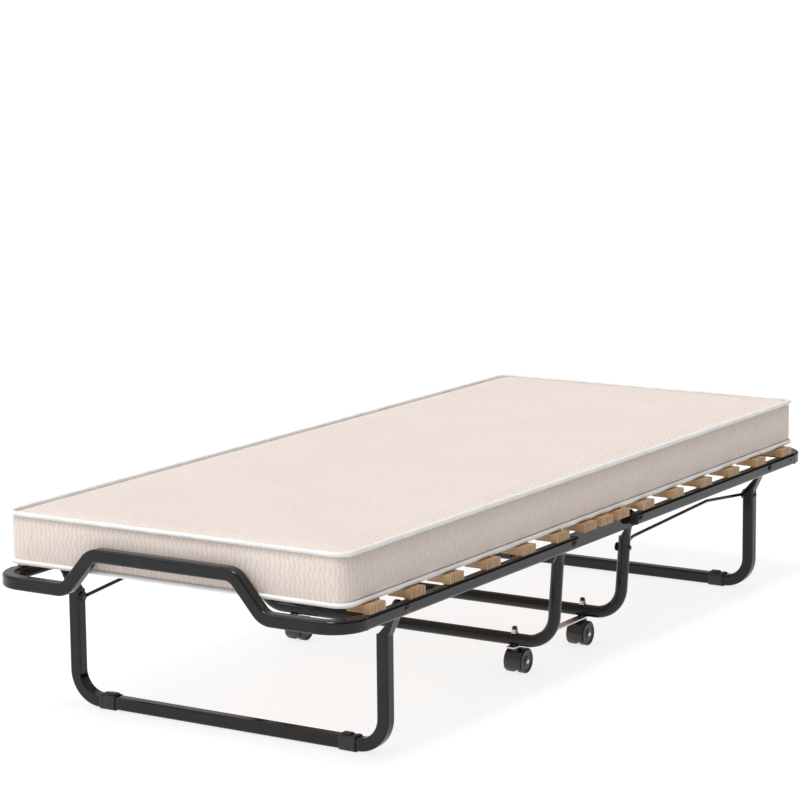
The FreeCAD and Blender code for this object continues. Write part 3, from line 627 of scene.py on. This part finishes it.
@dataclass
class Finishes:
    """Every finish on the bed, made once."""

    enamel: bpy.types.Material = field(default_factory=lambda: Enamel().make())
    zinc: bpy.types.Material = field(default_factory=lambda: BrightZinc().make())
    timber: bpy.types.Material = field(default_factory=lambda: Timber().make())
    cap: bpy.types.Material = field(default_factory=lambda: Timber(
        name="cap_moulding", dark=(0.33, 0.185, 0.085), middle=(0.46, 0.275, 0.135),
        pale=(0.56, 0.36, 0.19), stretch=(110, 4.0, 9.0)).make())
    knit: bpy.types.Material = field(default_factory=lambda: KnitCover().make())
    piping: bpy.types.Material = field(default_factory=lambda: PipingTape().make())
    black: bpy.types.Material = field(default_factory=lambda: Moulded(
        "black_moulding", (0.010, 0.010, 0.011), (0.020, 0.020, 0.021)).make())
    hood: bpy.types.Material = field(default_factory=lambda: Moulded(
        "hood_moulding", (0.008, 0.008, 0.009), (0.016, 0.016, 0.017), (0.22, 0.34), 0.05, 0.3).make())
    wheel: bpy.types.Material = field(default_factory=lambda: Moulded(
        "wheel_moulding", (0.012, 0.012, 0.013), (0.024, 0.024, 0.025), (0.30, 0.45)).make())
    fastener: bpy.types.Material = field(default_factory=lambda: BrightZinc(
        "dark_fastener", (0.05, 0.05, 0.055), (0.11, 0.11, 0.115), (0.3, 0.42)).make())

    def for_slot(self, slot: str) -> bpy.types.Material:
        """The finish that a record's material slot takes.

        Args:
            slot: The slot's name.

        Returns:
            Its material.
        """
        return {"mattress_cover": self.knit, "slat_cap_plastic": self.cap, "slat_wood": self.timber,
                "wheel_plastic": self.wheel, "hood_plastic": self.hood, "black_plastic": self.black,
                "zinc_steel": self.zinc, "dark_fastener": self.fastener,
                "black_enamel": self.enamel}[slot]

    def dress(self, piece: bpy.types.Object, *materials: bpy.types.Material) -> None:
        """Give a piece these materials and no others."""
        piece.data.materials.clear()
        for material in materials:
            piece.data.materials.append(material)


# ------------------------------------------------------------------- mattress

@dataclass
class Mattress:
    """The foam mattress in its knit cover, with white piping round both faces.

    It is made whole and then parted at the middle of the bed. Each half lies on the centre frame at its inner
    end.
    """

    finishes: Finishes
    piping_radius: float = 4.5 * MM
    corner: float = 34 * MM
    corner_steps: int = 12
    voxel: float = 9 * MM
    seam_reach: float = 45 * MM
    crown: float = 3.8 * MM
    belly: float = 3.2 * MM
    sink: float = 2.4 * MM
    slat_span: float = 342 * MM
    slat_fade: float = 20 * MM
    end_fade: float = 30 * MM
    free_push: float = 30 * MM
    ring_splits: tuple[tuple[float, int], ...] = ((0.3, 9), (0.05, 9))
    pressure: float = 4.0
    frames: int = 14
    bend_start: float = 55 * MM
    bend_end: float = 225 * MM
    low: Vector = field(init=False)
    high: Vector = field(init=False)

    def __post_init__(self) -> None:
        """Take the outline from the three solids that stand for the mattress."""
        boxes = [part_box(name) for name in ("near_mattress", "mattress_centre", "far_mattress")]
        self.low = Vector([min(low[i] for low, _ in boxes) for i in range(3)])
        self.high = Vector([max(high[i] for _, high in boxes) for i in range(3)])

    def outline_block(self, name: str, inset: float) -> bpy.types.Object:
        """A block with rounded upright corners, set in from the outline all round.

        Args:
            name: The piece's name.
            inset: How far it is set in.

        Returns:
            The block.
        """
        size = self.high - self.low - Vector((2 * inset,) * 3)
        piece = block(name, size, (self.low + self.high) / 2)
        choose_edges(piece, lambda a, b: abs(a.z - b.z) > size.z / 2)
        bpy.ops.mesh.bevel(offset=self.corner - inset, segments=self.corner_steps, profile=0.5)
        bpy.ops.object.mode_set(mode="OBJECT")
        return piece

    def seam_gap(self, point: Vector) -> float:
        """How far a point of the cover lies from the nearer of its two seams.

        Args:
            point: A point on the cover.

        Returns:
            The distance, in metres.
        """
        edge = self.high - Vector((self.piping_radius,) * 3)
        radius = self.corner - self.piping_radius
        dx = max(abs(point.x) - (edge.x - radius), 0.0)
        dy = max(abs(point.y) - (edge.y - radius), 0.0)
        if dx > 0.0 and dy > 0.0:
            across = radius - math.hypot(dx, dy)
        else:
            across = min(edge.x - abs(point.x), edge.y - abs(point.y))
        upper = abs(edge.z - point.z)
        lower = abs(point.z - (self.low.z + self.piping_radius))
        return math.hypot(max(across, 0.0), min(upper, lower))

    def pinned(self, pad: bpy.types.Object) -> bpy.types.VertexGroup:
        """Pin the seams and the underside, for the cloth simulation."""
        held = pad.vertex_groups.new(name="held")
        under = self.low.z + self.piping_radius + 2 * MM
        for vertex in pad.data.vertices:
            if vertex.co.z < under or self.seam_gap(vertex.co) < self.voxel * 0.8:
                held.add([vertex.index], 1.0, "REPLACE")
        return held

    def swell(self, pad: bpy.types.Object) -> None:
        """Fill the cover by a cloth simulation under pressure, and keep what it allows.

        Args:
            pad: The whole cover, as one closed mesh.
        """
        rest = [vertex.co.copy() for vertex in pad.data.vertices]
        normals = [vertex.normal.copy() for vertex in pad.data.vertices]
        pushed = [vertex.co + normal * self.free_push for vertex, normal in zip(pad.data.vertices, normals)]
        held = self.pinned(pad)
        pick_up(pad)
        cloth = pad.modifiers.new("filling", "CLOTH")
        cloth.settings.quality = 4
        cloth.settings.use_pressure = True
        cloth.settings.uniform_pressure_force = self.pressure
        cloth.settings.effector_weights.gravity = 0.0
        cloth.settings.vertex_group_mass = held.name
        cloth.collision_settings.use_collision = False
        cloth.point_cache.frame_start = 1
        cloth.point_cache.frame_end = self.frames
        for number in range(1, self.frames + 1):
            bpy.context.scene.frame_set(number)
        shaped = pad.evaluated_get(bpy.context.evaluated_depsgraph_get())
        pushed = [vertex.co.copy() for vertex in shaped.data.vertices]
        bpy.ops.object.modifier_remove(modifier=cloth.name)
        bpy.context.scene.frame_set(1)
        pad.vertex_groups.clear()
        for vertex, start, normal, target in zip(pad.data.vertices, rest, normals, pushed):
            vertex.co = start + self.allowed(start, normal, target - start)

    def allowed(self, start: Vector, normal: Vector, move: Vector) -> Vector:
        """Cap how far a point of the cover moves.

        Args:
            start: Where it was.
            normal: The cover's normal there.
            move: Where the filling takes it, from there.

        Returns:
            The move that is kept.
        """
        free = min(self.seam_gap(start) / self.seam_reach, 1.0)
        free = free * free * (3 - 2 * free)
        if normal.z < -0.5:
            inside = max(0.0, min(1.0, (self.slat_span - abs(start.y)) / self.slat_fade))
            inside *= max(0.0, min(1.0, (self.high.x - self.end_fade - abs(start.x)) / self.end_fade))
            return Vector((0, 0, -self.sink)) * inside
        cap = self.crown if normal.z > 0.5 else self.belly
        reach = cap * free
        return move.normalized() * min(move.length, reach) if move.length > 0 else move

    def perimeter(self, point: Vector) -> float:
        """The distance round the mattress to a point on its side band, in metres."""
        half_x, half_y = self.high.x - self.corner, self.high.y - self.corner
        arc = self.corner * math.pi / 2
        dx, dy = abs(point.x) - half_x, abs(point.y) - half_y
        if dx <= 0.0:
            quarter = abs(point.x)
        elif dy > 0.0:
            quarter = half_x + arc * (math.atan2(dx, dy) / (math.pi / 2))
        else:
            quarter = half_x + arc + (half_y - abs(point.y))
        whole = half_x + arc + half_y
        return quarter if point.x * point.y >= 0 else 2 * whole - quarter

    def lay_pattern(self, pad: bpy.types.Object) -> None:
        """Lay the knit's UV map: rows along the bed on both faces, and upright on the sides."""
        layer = pad.data.uv_layers.new(name="knit_rows")
        for face in pad.data.polygons:
            flat = abs(face.normal.z) > 0.6
            low_round = min(self.perimeter(pad.data.vertices[v].co) for v in face.vertices)
            for loop in face.loop_indices:
                point = pad.data.vertices[pad.data.loops[loop].vertex_index].co
                if flat:
                    layer.data[loop].uv = (point.x + 3.0, point.y)
                else:
                    along = self.perimeter(point)
                    along = low_round if abs(along - low_round) > 0.1 else along
                    layer.data[loop].uv = (point.z, along)

    def pad(self) -> bpy.types.Object:
        """The whole cover, filled and smoothed."""
        cover = self.outline_block("mattress_pad", self.piping_radius)
        pick_up(cover)
        remesh = cover.modifiers.new("weave", "REMESH")
        remesh.mode = "VOXEL"
        remesh.voxel_size = self.voxel
        bpy.ops.object.modifier_apply(modifier=remesh.name)
        self.swell(cover)
        pick_up(cover)
        fine = cover.modifiers.new("soft", "SUBSURF")
        fine.levels = fine.render_levels = 1
        bpy.ops.object.modifier_apply(modifier=fine.name)
        return cover

    def seam_cord(self, name: str, height: float) -> bpy.types.Object:
        """A closed ring of piping at one height.

        Args:
            name: The piece's name.
            height: The height of its middle.

        Returns:
            The ring, as a mesh.
        """
        size = self.high - self.low
        put_down()
        bpy.ops.mesh.primitive_plane_add(size=1.0, location=(0, 0, height))
        ring = bpy.context.object
        ring.scale = (size.x - 2 * self.piping_radius, size.y - 2 * self.piping_radius, 1.0)
        settled(name)
        pick_up(ring)
        bpy.ops.object.mode_set(mode="EDIT")
        bpy.ops.mesh.select_all(action="SELECT")
        bpy.ops.mesh.bevel(affect="VERTICES", offset=self.corner - self.piping_radius,
                           segments=self.corner_steps)
        bpy.ops.mesh.select_mode(type="FACE")
        bpy.ops.mesh.select_all(action="SELECT")
        bpy.ops.mesh.delete(type="ONLY_FACE")
        bpy.ops.object.mode_set(mode="OBJECT")
        for least, cuts in self.ring_splits:
            choose_edges(ring, lambda a, b: (a - b).length > least)
            bpy.ops.mesh.subdivide(number_cuts=cuts)
        pick_up(ring)
        bpy.ops.object.convert(target="CURVE")
        ring = bpy.context.object
        ring.data.bevel_depth = self.piping_radius
        ring.data.bevel_resolution = 3
        bpy.ops.object.convert(target="MESH")
        ring = bpy.context.object
        ring.name = name
        face_outwards(ring)
        return ring

    def parted(self, whole: bpy.types.Object, stem: str, end: End) -> bpy.types.Object:
        """One half of a piece that runs the whole length of the bed.

        Args:
            whole: The whole piece.
            stem: What the half is called after its end.
            end: Which half.

        Returns:
            The half, closed at the middle of the bed.
        """
        half = copied(whole, f"{end.label}_{stem}", Matrix.Identity(4))
        cut_off(half, (0, 0, 0), (-end.value, 0, 0))
        return half

    def hang(self, piece: bpy.types.Object) -> None:
        """Bake a piece's place into its mesh."""
        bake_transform(piece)

    def build(self) -> list[bpy.types.Object]:
        """Make and dress the mattress, and bake its pieces in place.

        Returns:
            Its pieces.
        """
        cover = self.pad()
        radius = self.piping_radius
        rings = {"upper_piping": self.seam_cord("upper_piping", self.high.z - radius),
                 "lower_piping": self.seam_cord("lower_piping", self.low.z + radius)}
        made = []
        for end in End:
            half = self.parted(cover, "mattress_pad", end)
            self.lay_pattern(half)
            smooth(half, 50)
            self.finishes.dress(half, self.finishes.knit)
            self.hang(half)
            solids = [f"{end.label}_mattress"] + (["mattress_centre"] if end is End.NEAR else [])
            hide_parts(*solids)
            made.append(half)
            for stem, ring in rings.items():
                trim = self.parted(ring, stem, end)
                smooth(trim, 60)
                self.finishes.dress(trim, self.finishes.piping)
                self.hang(trim)
                made.append(trim)
        for whole in (cover, *rings.values()):
            bpy.data.objects.remove(whole)
        return made


# -------------------------------------------------------------------- casters

@dataclass
class Caster:
    """A hooded twin-wheel caster, modelled once and copied to the four corners."""

    finishes: Finishes
    wheel_radius: float = 24 * MM
    wheel_wide: float = 14 * MM
    wheel_gap: float = 13 * MM
    trail: float = 12 * MM
    hood_gap: float = 1.2 * MM
    hood_wall: float = 1.9 * MM
    hood_open: float = 10 * MM
    boss_radius: float = 8 * MM
    boss_top: float = 52.2 * MM
    rim_steps: tuple[tuple[float, float], ...] = (
        (0.0, 4.5 * MM), (-1.6 * MM, 0.9 * MM), (0.0, 8.0 * MM), (1.4 * MM, 0.8 * MM))
    hub_radius: float = 4.6 * MM
    hub_long: float = 3.2 * MM
    hub_proud: float = 0.2 * MM
    hood_clear: float = 4 * MM

    def axle(self, where: str) -> Vector:
        """The middle of a caster's axle."""
        low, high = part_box(f"caster_wheels_{where}")
        return (low + high) / 2

    def wheel(self, centre: Vector, hand: int) -> bpy.types.Object:
        """One wheel: a rounded tread, a dished outer face, a raised hub and its bright cap.

        Args:
            centre: The middle of the axle.
            hand: Which side of the axle, as a sign of Y.

        Returns:
            The wheel.
        """
        middle = centre + Vector((0, hand * (self.wheel_gap + self.wheel_wide) / 2, 0))
        tyre = drum("tyre", self.wheel_radius, self.wheel_wide, middle)
        outer = middle.y + hand * self.wheel_wide / 2
        choose_faces(tyre, lambda c, n: n.y * hand > 0.9)
        for depth, margin in self.rim_steps:
            step_face(depth, margin)
        round_edges(tyre, 0.9 * MM, 3, 50)
        smooth(tyre, 30)
        self.finishes.dress(tyre, self.finishes.wheel, self.finishes.zinc)
        hub = drum("hub", self.hub_radius, self.hub_long,
                   (middle.x, outer + hand * self.hub_proud, middle.z), sides=32)
        choose_faces(hub, lambda c, n: n.y * hand > 0.9)
        step_face(0.6 * MM, 1.2 * MM)
        round_edges(hub, 0.35 * MM)
        smooth(hub)
        self.finishes.dress(hub, self.finishes.wheel, self.finishes.zinc)
        for face in hub.data.polygons:
            face.material_index = 1
        groove = drum("groove", self.wheel_radius + 0.05 * MM, 1.2 * MM, middle)
        choose_faces(groove, lambda c, n: abs(n.y) > 0.9)
        bpy.ops.mesh.inset(thickness=0.5 * MM)
        smooth(groove, 30)
        self.finishes.dress(groove, self.finishes.wheel, self.finishes.zinc)
        return joined("wheel", [tyre, hub, groove])

    def wheels(self, centre: Vector) -> bpy.types.Object:
        """Both wheels on their axle."""
        axle = drum("axle", 3 * MM, self.wheel_gap + self.wheel_wide, centre, sides=24)
        choose_faces(axle, lambda c, n: abs(n.y) > 0.9)
        step_face(0.5 * MM, 0.6 * MM)
        smooth(axle)
        self.finishes.dress(axle, self.finishes.wheel, self.finishes.zinc)
        return joined("wheels", [self.wheel(centre, 1), self.wheel(centre, -1), axle])

    def hood(self, centre: Vector, pivot_x: float) -> bpy.types.Object:
        """The hood: a curved cover, the web between the wheels and the stem's boss.

        Args:
            centre: The middle of the axle.
            pivot_x: Where the stem stands.

        Returns:
            The hood.
        """
        outer = self.wheel_radius + self.hood_gap + self.hood_wall
        inner = outer - self.hood_wall
        width = self.wheel_gap + 2 * self.wheel_wide - self.hood_clear
        start = math.asin((self.hood_open - centre.z) / outer)
        cover = block("cover", (self.hood_wall, width, 0.4 * MM),
                      (centre.x + (inner + outer) / 2, centre.y, centre.z))
        choose_faces(cover, lambda c, n: n.z < 0.9)
        bpy.ops.mesh.delete(type="FACE")
        bpy.ops.object.mode_set(mode="OBJECT")
        cover.data.transform(Matrix.Translation(centre) @ Matrix.Rotation(-start, 4, "Y")
                             @ Matrix.Translation(-centre))
        choose_faces(cover, lambda c, n: True)
        bpy.ops.mesh.spin(steps=36, angle=math.pi - 2 * start, center=centre, axis=(0, 1, 0))
        face_outwards(cover)
        round_edges(cover, 0.6 * MM)
        smooth(cover)
        web = drum("web", inner + 0.5 * MM, self.wheel_gap - 1 * MM, centre, sides=64)
        cut_off(web, (0, 0, centre.z - 10 * MM), (0, 0, -1))
        round_edges(web, 0.6 * MM)
        smooth(web)
        boss = drum("boss", self.boss_radius, 6 * MM, (pivot_x, centre.y, self.boss_top - 3 * MM), "Z", 40)
        choose_faces(boss, lambda c, n: n.z > 0.9)
        step_face(-0.8 * MM, 2.4 * MM)
        round_edges(boss, 0.7 * MM)
        smooth(boss)
        return joined("hood", [cover, web, boss])

    def build(self) -> list[bpy.types.Object]:
        """Make the four casters.

        Returns:
            Their pieces.
        """
        first = self.axle("near_left")
        pivot_x = first.x - self.trail
        wheels = self.wheels(first)
        hood = self.hood(first, pivot_x)
        self.finishes.dress(hood, self.finishes.hood)
        made = []
        for end in End:
            for side in Side:
                where = f"{end.label}_{side.label}"
                place = Matrix.Translation(self.axle(where))
                if end is End.FAR:
                    place = place @ Matrix.Rotation(math.pi, 4, "Z")
                place = place @ Matrix.Translation(-first)
                pair = copied(wheels, f"wheel_pair_{where}", place)
                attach(pair, f"wheels_{where}")
                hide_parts(f"caster_wheels_{where}")
                cover = copied(hood, f"wheel_hood_{where}", place)
                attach(cover, f"caster_{where}")
                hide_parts(f"caster_hood_{where}")
                made += [pair, cover]
        bpy.data.objects.remove(wheels)
        bpy.data.objects.remove(hood)
        return made


# ------------------------------------------------------------------- fittings

@dataclass
class CapNuts:
    """The four cap nuts over the caster studs: a bright hexagon under a black dome."""

    finishes: Finishes
    across: float = 14.4 * MM
    hex_high: float = 7.2 * MM
    dome_radius: float = 5.2 * MM
    dome_high: float = 6.4 * MM
    washer_high: float = 1.2 * MM
    dome_steps: tuple[tuple[float, float], ...] = ((0.26, 0.12), (0.15, 0.24), (0.07, 0.3))

    def nut(self, foot: Vector) -> bpy.types.Object:
        """One nut, standing on a point.

        Args:
            foot: The middle of its underside.

        Returns:
            The nut.
        """
        hexagon = drum("hexagon", self.across / 2, self.hex_high,
                       foot + Vector((0, 0, self.hex_high / 2)), "Z", 6)
        choose_faces(hexagon, lambda c, n: n.z > 0.9)
        step_face(0.9 * MM, 1.1 * MM)
        round_edges(hexagon, 0.4 * MM, 2, 20)
        smooth(hexagon, 25)
        washer = drum("washer", self.across * 0.56, self.washer_high,
                      foot + Vector((0, 0, self.washer_high / 2)), "Z", 40)
        choose_faces(washer, lambda c, n: n.z > 0.9)
        step_face(0.3 * MM, 0.5 * MM)
        smooth(washer)
        base = foot + Vector((0, 0, self.hex_high + 0.6 * MM))
        dome = drum("dome", self.dome_radius, self.dome_high * 0.5,
                    base + Vector((0, 0, self.dome_high * 0.25)), "Z", 32)
        choose_faces(dome, lambda c, n: n.z > 0.9)
        for rise, margin in self.dome_steps:
            step_face(self.dome_high * rise, self.dome_radius * margin)
        smooth(dome, 60)
        for part in (hexagon, washer, dome):
            self.finishes.dress(part, self.finishes.zinc, self.finishes.black)
        for face in dome.data.polygons:
            face.material_index = 1
        return joined("nut", [hexagon, washer, dome])

    def build(self) -> list[bpy.types.Object]:
        """Make the four nuts as one piece on the centre frame."""
        low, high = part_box("cap_nuts")
        step = self.across / 2
        first = self.nut(Vector((low.x + step, high.y - step, low.z)))
        nuts = [first]
        for x, y in ((high.x - step, high.y - step), (low.x + step, low.y + step),
                     (high.x - step, low.y + step)):
            shift = Vector((x - low.x - step, y - high.y + step, 0))
            nuts.append(copied(first, "nut", Matrix.Translation(shift)))
        piece = joined("domed_cap_nuts", nuts)
        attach(piece, "centre_frame")
        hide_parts("cap_nuts")
        return [piece]


@dataclass
class FootClips:
    """The moulded clips on a leg's floor bar: a boxy sleeve with a lip and a tab on top."""

    finishes: Finishes
    side: float = 29 * MM
    length: float = 36 * MM
    edge_round: float = 6 * MM
    lip: float = 0.8 * MM
    tab: tuple[float, float, float] = (14 * MM, 20 * MM, 4.4 * MM)
    tab_inward: float = 6 * MM

    def collar(self, middle: Vector, side: float, length: float) -> bpy.types.Object:
        """A square sleeve with rounded long edges and a recess at each end.

        Args:
            middle: Its middle.
            side: Its height and width.
            length: Its length across the bed.

        Returns:
            The sleeve.
        """
        sleeve = block("sleeve", (side, length, side), middle)
        choose_edges(sleeve, lambda a, b: abs(a.y - b.y) > length * 0.9)
        bpy.ops.mesh.bevel(offset=self.edge_round, segments=5, profile=0.5)
        choose_faces(sleeve, lambda c, n: abs(n.y) > 0.9)
        step_face(0.0, 0.9 * MM)
        step_face(-1.0 * MM, 0.4 * MM)
        round_edges(sleeve, 0.5 * MM, 2, 50)
        return sleeve

    def clip(self, x: float, y: float) -> bpy.types.Object:
        """One clip round the floor bar.

        Args:
            x: The floor bar's place along the bed.
            y: The clip's middle.

        Returns:
            The clip.
        """
        middle = Vector((x, y, self.side / 2))
        inward = -1 if y > 0 else 1
        raised = middle + Vector((0, -inward * self.length * 0.36, self.lip / 2))
        parts = [self.collar(middle, self.side, self.length),
                 self.collar(raised, self.side + self.lip, self.length * 0.2)]
        tab = block("tab", self.tab,
                    middle + Vector((0, inward * self.tab_inward, self.side / 2 + 0.6 * MM)))
        choose_faces(tab, lambda c, n: n.z > 0.9)
        step_face(0.7 * MM, 1.8 * MM)
        round_edges(tab, 0.6 * MM)
        clip = joined("clip", parts + [tab])
        smooth(clip, 35)
        return clip

    def build(self) -> list[bpy.types.Object]:
        """Make both legs' clips, one piece to each leg."""
        made = []
        for end in End:
            low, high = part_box(f"{end.label}_foot_clips")
            x = (low.x + high.x) / 2
            clips = [self.clip(x, y) for y in (low.y + self.length / 2, high.y - self.length / 2)]
            piece = joined(f"{end.label}_floor_clips", clips)
            self.finishes.dress(piece, self.finishes.black)
            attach(piece, f"{end.label}_leg_frame")
            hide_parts(f"{end.label}_foot_clips")
            made.append(piece)
        return made


# --------------------------------------------------------------------- studio

@dataclass
class Studio:
    """The pale floor, the soft lights and the camera."""

    lens: float = 129.35
    sensor: float = 36.0
    position: tuple[float, float, float] = (-4.95065, -3.05424, 1.48795)
    yaw: float = 0.56584
    pitch: float = 0.16649
    roll: float = -0.01086
    floor_size: float = 160.0
    sky: float = 0.70
    lit_side: float = 0.80
    shade_side: float = 0.02
    lit_from: tuple[float, float, float] = (-0.35, 0.94, 0.0)

    def camera(self) -> None:
        """Put the camera in its place."""
        forward = Vector((math.cos(self.pitch) * math.cos(self.yaw),
                          math.cos(self.pitch) * math.sin(self.yaw), -math.sin(self.pitch)))
        right = forward.cross(Vector((0, 0, 1))).normalized()
        up = right.cross(forward)
        turned_right = math.cos(self.roll) * right + math.sin(self.roll) * up
        turned_up = -math.sin(self.roll) * right + math.cos(self.roll) * up
        data = bpy.data.cameras.new("camera")
        data.lens = self.lens
        data.sensor_width = self.sensor
        data.clip_end = 300.0
        eye = bpy.data.objects.new("camera", data)
        eye.matrix_world = Matrix((
            (turned_right.x, turned_up.x, -forward.x, self.position[0]),
            (turned_right.y, turned_up.y, -forward.y, self.position[1]),
            (turned_right.z, turned_up.z, -forward.z, self.position[2]),
            (0, 0, 0, 1)))
        bpy.context.scene.collection.objects.link(eye)
        bpy.context.scene.camera = eye

    def floor(self) -> None:
        """Lay the floor, in four panels each way."""
        put_down()
        bpy.ops.mesh.primitive_plane_add(size=self.floor_size, location=(0, 0, 0))
        piece = settled("studio_floor")
        pick_up(piece)
        bpy.ops.object.mode_set(mode="EDIT")
        bpy.ops.mesh.select_all(action="SELECT")
        bpy.ops.mesh.subdivide(number_cuts=3)
        bpy.ops.object.mode_set(mode="OBJECT")
        piece.data.materials.append(StudioFloor().make())

    def sun(self, name: str, toward: Sequence[float], strength: float, spread: float) -> None:
        """Hang a broad far-off lamp.

        Args:
            name: The lamp's name.
            toward: The direction in which its light travels.
            strength: Its strength.
            spread: Its apparent width, in degrees.
        """
        data = bpy.data.lights.new(name, "SUN")
        data.energy = strength
        data.angle = math.radians(spread)
        lamp = bpy.data.objects.new(name, data)
        lamp.rotation_euler = Vector(toward).to_track_quat("-Z", "Y").to_euler()
        bpy.context.scene.collection.objects.link(lamp)

    def surround(self) -> None:
        """Light the room: bright above and on the left, dim on the right side."""
        world = bpy.data.worlds.new("room")
        bpy.context.scene.world = world
        world.use_nodes = True
        nodes, links = world.node_tree.nodes, world.node_tree.links
        back = nodes["Background"]
        place = nodes.new("ShaderNodeTexCoord")
        split = nodes.new("ShaderNodeSeparateXYZ")
        links.new(place.outputs["Generated"], split.inputs["Vector"])
        toward = nodes.new("ShaderNodeVectorMath")
        toward.operation = "DOT_PRODUCT"
        toward.inputs[1].default_value = self.lit_from
        links.new(place.outputs["Generated"], toward.inputs[0])
        side = nodes.new("ShaderNodeMapRange")
        side.interpolation_type = "SMOOTHSTEP"
        side.inputs["From Min"].default_value = -0.5
        side.inputs["From Max"].default_value = 0.7
        side.inputs["To Min"].default_value = self.shade_side
        side.inputs["To Max"].default_value = self.lit_side
        links.new(toward.outputs["Value"], side.inputs["Value"])
        rise = nodes.new("ShaderNodeMapRange")
        rise.interpolation_type = "SMOOTHSTEP"
        rise.inputs["From Min"].default_value = 0.30
        rise.inputs["From Max"].default_value = 0.95
        links.new(split.outputs["Z"], rise.inputs["Value"])
        mix = nodes.new("ShaderNodeMix")
        mix.inputs["B"].default_value = self.sky
        links.new(rise.outputs["Result"], mix.inputs["Factor"])
        links.new(side.outputs["Result"], mix.inputs["A"])
        links.new(mix.outputs["Result"], back.inputs["Strength"])
        back.inputs["Color"].default_value = (1.0, 1.0, 1.0, 1.0)

    def build(self) -> None:
        """Set up the whole studio."""
        self.camera()
        self.floor()
        self.surround()
        self.sun("key", (0.55, -0.45, -1.0), 0.6, 40.0)
        self.sun("edge", (0.35, 0.05, -1.0), 1.5, 14.0)
        bpy.context.scene.view_settings.view_transform = "Standard"


# ----------------------------------------------------------------------- main

def dress_frame(finishes: Finishes) -> None:
    """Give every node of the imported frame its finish.

    Args:
        finishes: The bed's finishes.
    """
    slots = {part["node"]: part["material_slot"] for part in frame["record"]["subparts"]}
    for name, node in frame["nodes"].items():
        finishes.dress(node, finishes.for_slot(slots[name]))


def main() -> None:
    """Build the bed and its studio."""
    logging.basicConfig(level=logging.INFO, format="%(name)s: %(message)s")
    Studio().build()
    finishes = Finishes()
    dress_frame(finishes)
    for assembly in (Mattress(finishes), Caster(finishes), CapNuts(finishes), FootClips(finishes)):
        for piece in assembly.build():
            log.info("%s: %d faces", piece.name, len(piece.data.polygons))
    put_down()


if __name__ == "__main__":
    main()
